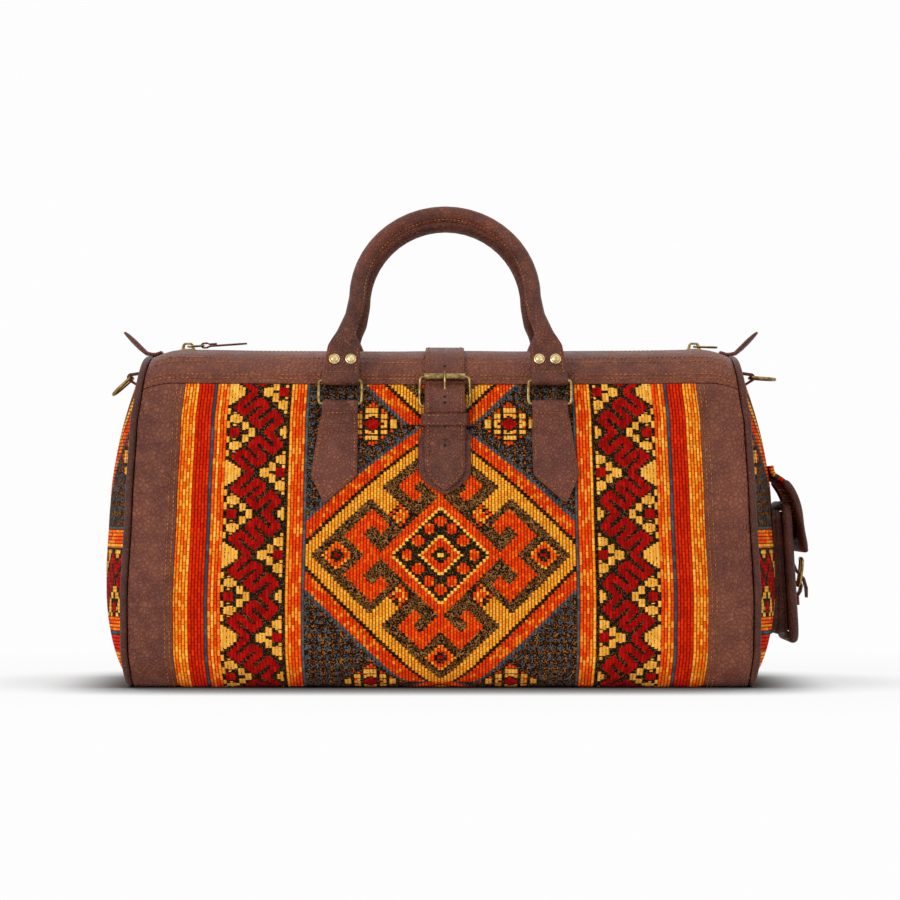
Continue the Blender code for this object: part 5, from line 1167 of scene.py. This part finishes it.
def pointed(tip_v, point, half):
    """Rows at a pointed tip: run and half width."""
    return [(tip_v, 0.0006), (tip_v + point * 0.10, half * 0.22), (tip_v + point * 0.28, half * 0.50),
            (tip_v + point * 0.55, half * 0.79), (tip_v + point * 0.78, half * 0.93), (tip_v + point, half)]


tip_v = run_at(HOLDER_TIP)
low = SEAT_GAP + HOLDER_T / 2
high = low + KEEPER_T + SEAT_GAP
turn_r = BUCKLE_WIRE_R + SEAT_GAP + HOLDER_T / 2
over = high + HOLDER_T + SEAT_GAP
path = [(v, low, half) for v, half in pointed(tip_v, HOLDER_POINT, HOLDER_WIDTH / 2)]
path += [(HINGE_V - 0.024, low, HOLDER_WIDTH / 2), (HINGE_V - 0.0175, high, 0.0176), (HINGE_V - 0.006, high, 0.0176)]
path += [(HINGE_V + r, HINGE_W + t, 0.0176) for r, t in arc((0.0, 0.0), turn_r, -90, 90, 10)]
path += [(HINGE_V - 0.0030, HINGE_W + turn_r * 0.80, 0.0176), (HINGE_V - 0.0062, over + 0.0003, 0.0176),
         (HINGE_V - HOLDER_TAIL, over, 0.0176)]
mesh, _ = ribbon([(v, w, -half, half) for v, w, half in path], HOLDER_T, skin, FITTING_SHIFT, 1.0 * MM, 1)
piece("buckle_strap_leather", mesh, STRAP_LEATHER, "bag", ("buckle_strap",))

tip_v = run_at(STRAP_TIP)
low = SEAT_GAP + STRAP_T / 2
on_holder = low + HOLDER_T + SEAT_GAP
over_tail = low + 2 * HOLDER_T + KEEPER_T + 3 * SEAT_GAP
over_bar = HINGE_W + BUCKLE_WIRE_R + HOLDER_T + 2 * SEAT_GAP + STRAP_T / 2
span_v = ROLLER_V - HINGE_V
half = STRAP_WIDTH / 2
path = [(v, on_holder, h) for v, h in pointed(tip_v, STRAP_POINT, half)]
path += [(v, w, half) for v, w in (
    (HINGE_V - 0.029, on_holder), (HINGE_V - HOLDER_TAIL - 0.0015, over_tail), (HINGE_V - 0.0070, over_tail + 0.0004),
    (HINGE_V - 0.0034, over_bar - 0.0006), (HINGE_V, over_bar + 0.0003), (HINGE_V + span_v * 0.34, over_bar - 0.0002),
    (HINGE_V + span_v * 0.52, over_bar - 0.0022), (HINGE_V + span_v * 0.66, low + 0.0042),
    (HINGE_V + span_v * 0.80, low + 0.0008), (ROLLER_V, low), (HALF_GIRTH + STRAP_BACK, low))]
mesh, strap_rows = ribbon([(v, w, -h, h) for v, w, h in path], STRAP_T, skin, FITTING_SHIFT, 1.0 * MM, 1)
piece("closing_strap_leather", mesh, STRAP_LEATHER, "bag", ("closing_strap",))
print("strap runs %.3f m" % (HALF_GIRTH + STRAP_BACK - tip_v))

# %% Strap threads, holes and keeper
strap_v, strap_w = strap_rows[:, 0], strap_rows[:, 1] + STRAP_T / 2
seam = []
body_part = strap_v > tip_v + STRAP_POINT * 0.9
for way in (-1, 1):
    for inset in (0.0028,):
        v, w = strap_v[body_part], strap_w[body_part]
        seam.append(row_on(FITTING_SHIFT + way * (half - inset), v, w))
edge = pointed(tip_v, STRAP_POINT, half)
line = [(-(h - 0.0026), v) for v, h in edge[::-1][:-2]] + [(0.0, tip_v + 0.0036)]
line = resample(line + [(-x, v) for x, v in line[::-1][1:]], 0.4 * MM)
seam.append(row_on(FITTING_SHIFT + line[:, 0], line[:, 1], on_holder + STRAP_T / 2))
stitches("strap_stitches", seam, "bag", 3.1 * MM, 2.3 * MM, 0.40 * MM)

# The holes are not cut: each is a near-black disc laid on the strap, a painted shadow of the hole's dark inside.
dark, tree, shader, _ = start("punched_hole_painted_shadow")
shader.inputs["Base Color"].default_value = srgb("#120a07")
shader.inputs["Roughness"].default_value = 0.9
for i, (z, tall) in enumerate(((0.2591, 1.0), (0.2332, 1.0), (0.2284, 1.0), (0.2101, 1.0), (0.1998, 0.45), (0.1946, 1.0))):
    v = run_at(z)
    w = float(np.interp(v, strap_v, strap_w))
    disc = spun([(0.0, 0.00005), (0.0012, 0.00005), (0.0016, -0.0001)], 16)
    place, n = skin(FITTING_SHIFT, v, w), normal(FITTING_SHIFT, v)
    up = np.cross(n, (1.0, 0.0, 0.0))
    co = np.empty(len(disc.vertices) * 3)
    disc.vertices.foreach_get("co", co)
    co = co.reshape(-1, 3)
    wide = 1.0 if tall == 1.0 else 1.9
    put(disc, place + co[:, :1] * wide * (1.0, 0.0, 0.0) + co[:, 1:2] * tall * up + co[:, 2:3] * n)
    piece("strap_hole_shadow_%d" % i, disc, dark)

v0 = HINGE_V - KEEPER_DROP - KEEPER_WIDTH / 2
top_w = 5 * SEAT_GAP + KEEPER_T * 1.5 + 2 * HOLDER_T + STRAP_T + 0.0011 + KEEPER_T / 2
across = np.linspace(-0.0168, 0.0168, 60)
stitches("keeper_stitches", [row_on(FITTING_SHIFT + across, v0 + dv, top_w) for dv in (-0.0033, 0.0033)],
         "bag", 3.1 * MM, 2.3 * MM, 0.38 * MM)

for node, finish, edge_width in (
        ("strap_keeper", STRAP_LEATHER, 0.35), ("left_pull_tab", STRAP_LEATHER, 0.35),
        ("left_ring_loop", STRAP_LEATHER, 0.5), ("right_ring_loop", STRAP_LEATHER, 0.5),
        ("pocket_chape", STRAP_LEATHER, 0.5), ("pocket_tongue", STRAP_LEATHER, 0.5)):
    made = piece(node + "_leather", merged_copy(node), finish, BODY_OF[node], (node,))
    soft_edge(made, edge_width * MM, 2)
print("small leather pieces: 6")

# %% [markdown]
# ## Piping, ear tabs, zip and pocket
# Piping is a cord in a folded strip of leather; the pocket and its flap are bound with the
# same roll. The bellows of the pocket are soft, so a subdivided copy is enough.


# %% Round welts
def roll(points, radius, closed=True, count=16):
    """A round roll of leather along points."""
    points = np.asarray(points, float)
    if closed:
        run = np.roll(points, -1, 0) - np.roll(points, 1, 0)
    else:
        run = np.gradient(points, axis=0)
    run /= np.linalg.norm(run, axis=1, keepdims=True)
    side = np.cross(run, (1.0, 0.0, 0.0))
    side /= np.maximum(np.linalg.norm(side, axis=1, keepdims=True), 1e-9)
    up = np.cross(run, side)
    angle = np.linspace(0.0, 2.0 * math.pi, count, endpoint=False)
    rings = (points[:, None] + side[:, None] * np.cos(angle)[None, :, None] * radius
             + up[:, None] * np.sin(angle)[None, :, None] * radius)
    return tube(rings, caps=not closed, closed=closed)


for side_name, side in (("left", -1), ("right", 1)):
    mesh = roll(outline(side * PIPE_STATION, 0.0, 420), PIPING_R)
    piece(side_name + "_piping_leather", mesh, PIPING_LEATHER, "bag", (side_name + "_piping",))
print("piping: 2")

# %% Ear tabs
# The tab is cut like a leaf and has curled: its long edges stand up from its middle line.
EAR_HALF, EAR_CURL = 0.013, 0.0034
for side_name, way in (("left", -1), ("right", 1)):
    node = side_name + "_ear_tab"
    mesh = merged_copy(node)
    bm = bmesh.new()
    bm.from_mesh(mesh)
    for y in np.linspace(-0.011, 0.011, 9):
        bmesh.ops.bisect_plane(bm, geom=bm.verts[:] + bm.edges[:] + bm.faces[:], plane_co=(0, y, 0), plane_no=(0, 1, 0))
    lift = Vector((-way * 0.618, 0.0, 0.786))
    base_x = min(abs(vert.co.x) for vert in bm.verts)
    tip_x = max(abs(vert.co.x) for vert in bm.verts)
    for vert in bm.verts:
        share = smooth((abs(vert.co.x) - base_x) / (tip_x - base_x) * 1.8 - 0.5)
        vert.co += lift * float(share) * EAR_CURL * min(1.0, abs(vert.co.y) / EAR_HALF) ** 2
    bm.to_mesh(mesh)
    bm.free()
    made = piece(node + "_leather", mesh, STRAP_LEATHER, "bag", (node,))
    soft_edge(made, 0.6 * MM, 2)
    print(node, "curled", EAR_CURL)

# %% Pocket
POCKET_HALF, POCKET_BOTTOM, POCKET_TOP, POCKET_CORNER = 0.068, 0.034, 0.150, 0.014
POCKET_X_TOP, POCKET_X_BOTTOM = HALF_LENGTH + 0.0240, HALF_LENGTH + 0.0310
POCKET_BINDING_R, POCKET_FACE_T, FLAP_HALF, FLAP_T, FLAP_BINDING_R = 0.0040, 0.0030, 0.067, 0.0036, 0.0036


def pocket_x(z):
    return lerp(POCKET_X_BOTTOM, POCKET_X_TOP, (z - POCKET_BOTTOM) / (POCKET_TOP - POCKET_BOTTOM))


def round_box(width, height, radius, count):
    points = []
    for sx, sy, a in ((1, -1, -90), (1, 1, 0), (-1, 1, 90), (-1, -1, 180)):
        centre = (sx * (width / 2 - radius), sy * (height / 2 - radius))
        points += arc(centre, radius, a, a + 90, count)
    return points


middle, tall = (POCKET_BOTTOM + POCKET_TOP) / 2, POCKET_TOP - POCKET_BOTTOM
rim = resample(round_box(2 * (POCKET_HALF - POCKET_BINDING_R), tall - 2 * POCKET_BINDING_R, POCKET_CORNER, 12)
               + [round_box(2 * (POCKET_HALF - POCKET_BINDING_R), tall - 2 * POCKET_BINDING_R, POCKET_CORNER, 12)[0]],
               1.4 * MM)[:-1]
points = np.stack((pocket_x(middle + rim[:, 1]), rim[:, 0], middle + rim[:, 1]), 1)
piece("pocket_binding_leather", roll(points, POCKET_BINDING_R), PIPING_LEATHER, "bag", ("pocket_front_binding",))

inset = POCKET_BINDING_R + 0.0005
half_y, half_z = POCKET_HALF - POCKET_BINDING_R - inset, tall / 2 - POCKET_BINDING_R - inset
corner = POCKET_CORNER - inset + 0.0006
mesh, t, s = grid(150, 110)
q = (2.0 * s - 1.0) * half_z
past = np.maximum(0.0, np.abs(q) - (half_z - corner))
y = (2.0 * t - 1.0) * (half_y - corner + np.sqrt(np.maximum(corner ** 2 - past ** 2, 0.0)))
share = np.maximum(np.abs(y) / half_y, np.abs(q) / half_z)
lift = np.interp(share, (0.0, 0.35, 0.75, 1.0), (0.0034, 0.0034, 0.0022, 0.0))
put(mesh, np.stack((pocket_x(middle + q) + POCKET_FACE_T + lift - 0.0008, y, middle + q), 1))
weave(mesh, 0.151 - y, q)
made = piece("pocket_front_cloth", mesh, KILIM, "bag", ("pocket_front_panel",))
modify(made, "SOLIDIFY", thickness=1.6 * MM, offset=-1.0)

made = piece("pocket_gusset_leather", merged_copy("pocket_gusset"), PIPING_LEATHER, "bag", ("pocket_gusset",))
modify(made, "SUBSURF", levels=2, render_levels=2)
print("pocket body: 3 pieces")

# %% Pocket flap
line = []
for rise in (0.0290, 0.0225):
    z = POCKET_TOP + rise
    line.append((float(end_face(np.array(0.0), np.array(z))) + FLAP_T / 2 + 1.5 * SEAT_GAP, z))
line += [(POCKET_X_TOP + stand, POCKET_TOP + rise) for rise, stand in (
    (0.0172, -0.0020), (0.0110, 0.0038), (0.0000, 0.0090), (-0.0150, 0.0124), (-0.0350, 0.0158))]
line = soften(resample(line, 1.4 * MM), 3)
run = np.gradient(line, axis=0)
run /= np.linalg.norm(run, axis=1, keepdims=True)
flap_half = FLAP_HALF - 2 * FLAP_BINDING_R - 0.0013
mesh, t, s = grid(130, 60)
at = s * (len(line) - 1)
k = np.arange(len(line))
x, z = np.interp(at, k, line[:, 0]), np.interp(at, k, line[:, 1])
nx, nz = -np.interp(at, k, run[:, 1]), np.interp(at, k, run[:, 0])
y = (2.0 * t - 1.0) * flap_half
bow = 0.0008 * (1.0 - (y / flap_half) ** 2)
face = FLAP_T / 2 + bow
put(mesh, np.stack((x + nx * face, y, z + nz * face), 1))
mesh.flip_normals()
length = np.linalg.norm(np.diff(line, axis=0), axis=1).sum()
weave(mesh, 0.178 + s * length, y)
made = piece("pocket_flap_cloth", mesh, KILIM, "bag", ("pocket_flap",))
modify(made, "SOLIDIFY", thickness=FLAP_T * 0.9, offset=-1.0)
made = piece("pocket_flap_binding_leather", merged_copy("pocket_flap_binding"), PIPING_LEATHER, "bag",
             ("pocket_flap_binding",))
modify(made, "SUBSURF", levels=2, render_levels=2)
print("flap runs %.3f m" % length)

# %% Zip
tape, tree, shader, where = start("zip_tape")
rib = add(tree, "TexWave", {"bands_direction": "Y"}, Vector=where, Scale=900.0, Distortion=0.4).outputs["Fac"]
tree.links.new(mix(tree, rib, srgb("#2c1a12"), srgb("#4a2f22")), shader.inputs["Base Color"])
shader.inputs["Roughness"].default_value = 0.85
mesh, s, t = grid(180, 10)
x, v = lerp(-0.2440, 0.2440, s), lerp(HALF_GIRTH - 0.0195, HALF_GIRTH + 0.0195, t)
put(mesh, skin(x, v, -LEATHER_T - SEAT_GAP))
made = piece("zip_tape_cloth", mesh, tape, "bag", ("zip_tape",))
modify(made, "SOLIDIFY", thickness=1.0 * MM, offset=-1.0)
bm = bmesh.new()
teeth = int(2 * (HALF_LENGTH - 0.0315) / (1.5 * MM))
for k in range(teeth):
    x = -(HALF_LENGTH - 0.0315) + (k + 0.5) * 1.5 * MM
    place = skin(x, HALF_GIRTH, -LEATHER_T + 0.0009)
    way = 1.0 if k % 2 else -1.0
    matrix = bpy_matrix(Vector((0.95 * MM, 0, 0)), Vector((0, 3.6 * MM, 0)), Vector((0, 0, 1.3 * MM)),
                        Vector(place) + Vector((0.0, way * 1.2 * MM, 0.0)))
    bmesh.ops.create_cube(bm, size=1.0, matrix=matrix)
mesh = bpy.data.meshes.new("zip_teeth")
bm.to_mesh(mesh)
bm.free()
made = piece("zip_teeth", mesh, ZIP_METAL, "bag", ("zip_chain",), smooth_shade=False)
print("zip teeth:", teeth)

# %% Lining and base board
cloth, tree, shader, where = start("lining_cotton")
rib = add(tree, "TexWave", {"bands_direction": "X"}, Vector=where, Scale=500.0, Distortion=1.0).outputs["Fac"]
tree.links.new(mix(tree, rib, srgb("#6b5238"), srgb("#83694b")), shader.inputs["Base Color"])
shader.inputs["Roughness"].default_value = 0.9
board, tree, shader, where = start("base_fibre_board")
tree.links.new(mix(tree, noise(tree, where, 200.0), srgb("#6f614a"), srgb("#8d7d62")), shader.inputs["Base Color"])
shader.inputs["Roughness"].default_value = 0.85
for node, finish in (("lining", cloth), ("base_board", board)):
    for slot in frame["nodes"][node].material_slots:
        slot.material = finish
print("stitches in all:", stitch_total)

# %% [markdown]
# ## Camera, floor and light
# A long lens stands level in front of the bag, a little to its right. The room is white: the
# camera and mirrors see plain white, while the light itself is soft and comes from above and
# from the front, so that the floor keeps a pale shadow. Under the bag the white that the camera
# sees on the floor also carries a painted contact shadow.

# %% Camera
lens = bpy.data.cameras.new("camera")
lens.sensor_width = 36.0
lens.lens = 163.7
lens.shift_y = 0.0556
lens.clip_end = 30.0
camera = bpy.data.objects.new("camera", lens)
camera.location = (0.0075, -3.4, 0.151)
camera.rotation_euler = (math.radians(90.0), 0.0, 0.0)
bpy.context.scene.collection.objects.link(camera)
bpy.context.scene.camera = camera
bpy.context.scene.view_settings.view_transform = "Standard"
print("camera at", tuple(camera.location), "lens", lens.lens)

# %% Floor and room
WHITE = 0.985
floor_mesh, fs, ft = grid(1, 1)
put(floor_mesh, np.stack(((fs - 0.5) * 24.0, (ft - 0.5) * 24.0, np.zeros_like(fs)), -1))
floor_finish, tree, shader, where = start("white_floor")
shader.inputs["Base Color"].default_value = (0.93, 0.93, 0.93, 1.0)
shader.inputs["Roughness"].default_value = 0.9
shader.inputs["Specular IOR Level"].default_value = 0.0
# far from the bag the floor runs into the white room; near it a painted contact shadow, taken from ambient occlusion,
# darkens the glowing white that the camera sees
axes = add(tree, "SeparateXYZ", Vector=where).outputs
apart = calc(tree, "SQRT", calc(tree, "ADD", calc(tree, "POWER", calc(tree, "MULTIPLY", axes[0], 0.7), 2.0),
                                calc(tree, "POWER", axes[1], 2.0)))
nearby = add(tree, "AmbientOcclusion", {"samples": 12}, Distance=0.13).outputs["AO"]
beside = ramp(tree, calc(tree, "ABSOLUTE", axes[0]), 0.250, 0.330, 1.0, 0.25)
painted_contact_shadow = calc(tree, "MULTIPLY", calc(tree, "SUBTRACT", 1.0, calc(tree, "POWER", nearby, 5.0)), beside)
tone = calc(tree, "MULTIPLY", calc(tree, "SUBTRACT", 1.0, painted_contact_shadow), WHITE)
glow = add(tree, "Emission", Color=add(tree, "CombineColor", Red=tone, Green=tone, Blue=tone).outputs[0])
mixed = add(tree, "MixShader", Fac=ramp(tree, apart, 0.15, 0.9, 0.88, 1.0), i1=shader.outputs[0],
            i2=glow.outputs[0])
seen = add(tree, "LightPath").outputs["Is Camera Ray"]
final = add(tree, "MixShader", Fac=seen, i1=shader.outputs[0], i2=mixed.outputs[0])
tree.links.new(final.outputs[0], tree.nodes["Material Output"].inputs["Surface"])
floor_mesh.materials.append(floor_finish)
floor = bpy.data.objects.new("floor", floor_mesh)
bpy.context.scene.collection.objects.link(floor)

room = bpy.context.scene.world or bpy.data.worlds.new("room")
bpy.context.scene.world = room
room.use_nodes = True
tree = room.node_tree
tree.nodes.clear()
path = add(tree, "LightPath").outputs
seen = calc(tree, "MAXIMUM", path["Is Camera Ray"], calc(tree, "MAXIMUM", path["Is Glossy Ray"],
                                                        path["Is Transmission Ray"]))
ambient = add(tree, "Background", Color=(1.0, 1.0, 1.0, 1.0), Strength=0.62)
white = add(tree, "Background", Color=(WHITE, WHITE, WHITE, 1.0), Strength=1.0)
shown = add(tree, "MixShader", Fac=seen, i1=ambient.outputs[0], i2=white.outputs[0])
tree.links.new(shown.outputs[0], add(tree, "OutputWorld").inputs["Surface"])


# %% Lamps
def lamp(name, place, size, power, aim=(0.0, 0.0, 0.14)):
    light = bpy.data.lights.new(name, "AREA")
    light.shape = "RECTANGLE"
    light.size, light.size_y = size
    light.energy = power
    made = bpy.data.objects.new(name, light)
    made.location = place
    made.rotation_euler = (Vector(aim) - Vector(place)).to_track_quat("-Z", "Y").to_euler()
    bpy.context.scene.collection.objects.link(made)
    return made


lamp("top_softbox", (0.0, -0.35, 1.7), (2.2, 1.6), 4.0)
lamp("front_left_softbox", (-1.5, -1.9, 1.15), (1.2, 1.2), 24.0)
lamp("front_right_softbox", (1.6, -1.8, 0.9), (1.2, 1.2), 4.0)
print("lamps: 3")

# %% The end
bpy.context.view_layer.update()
import json
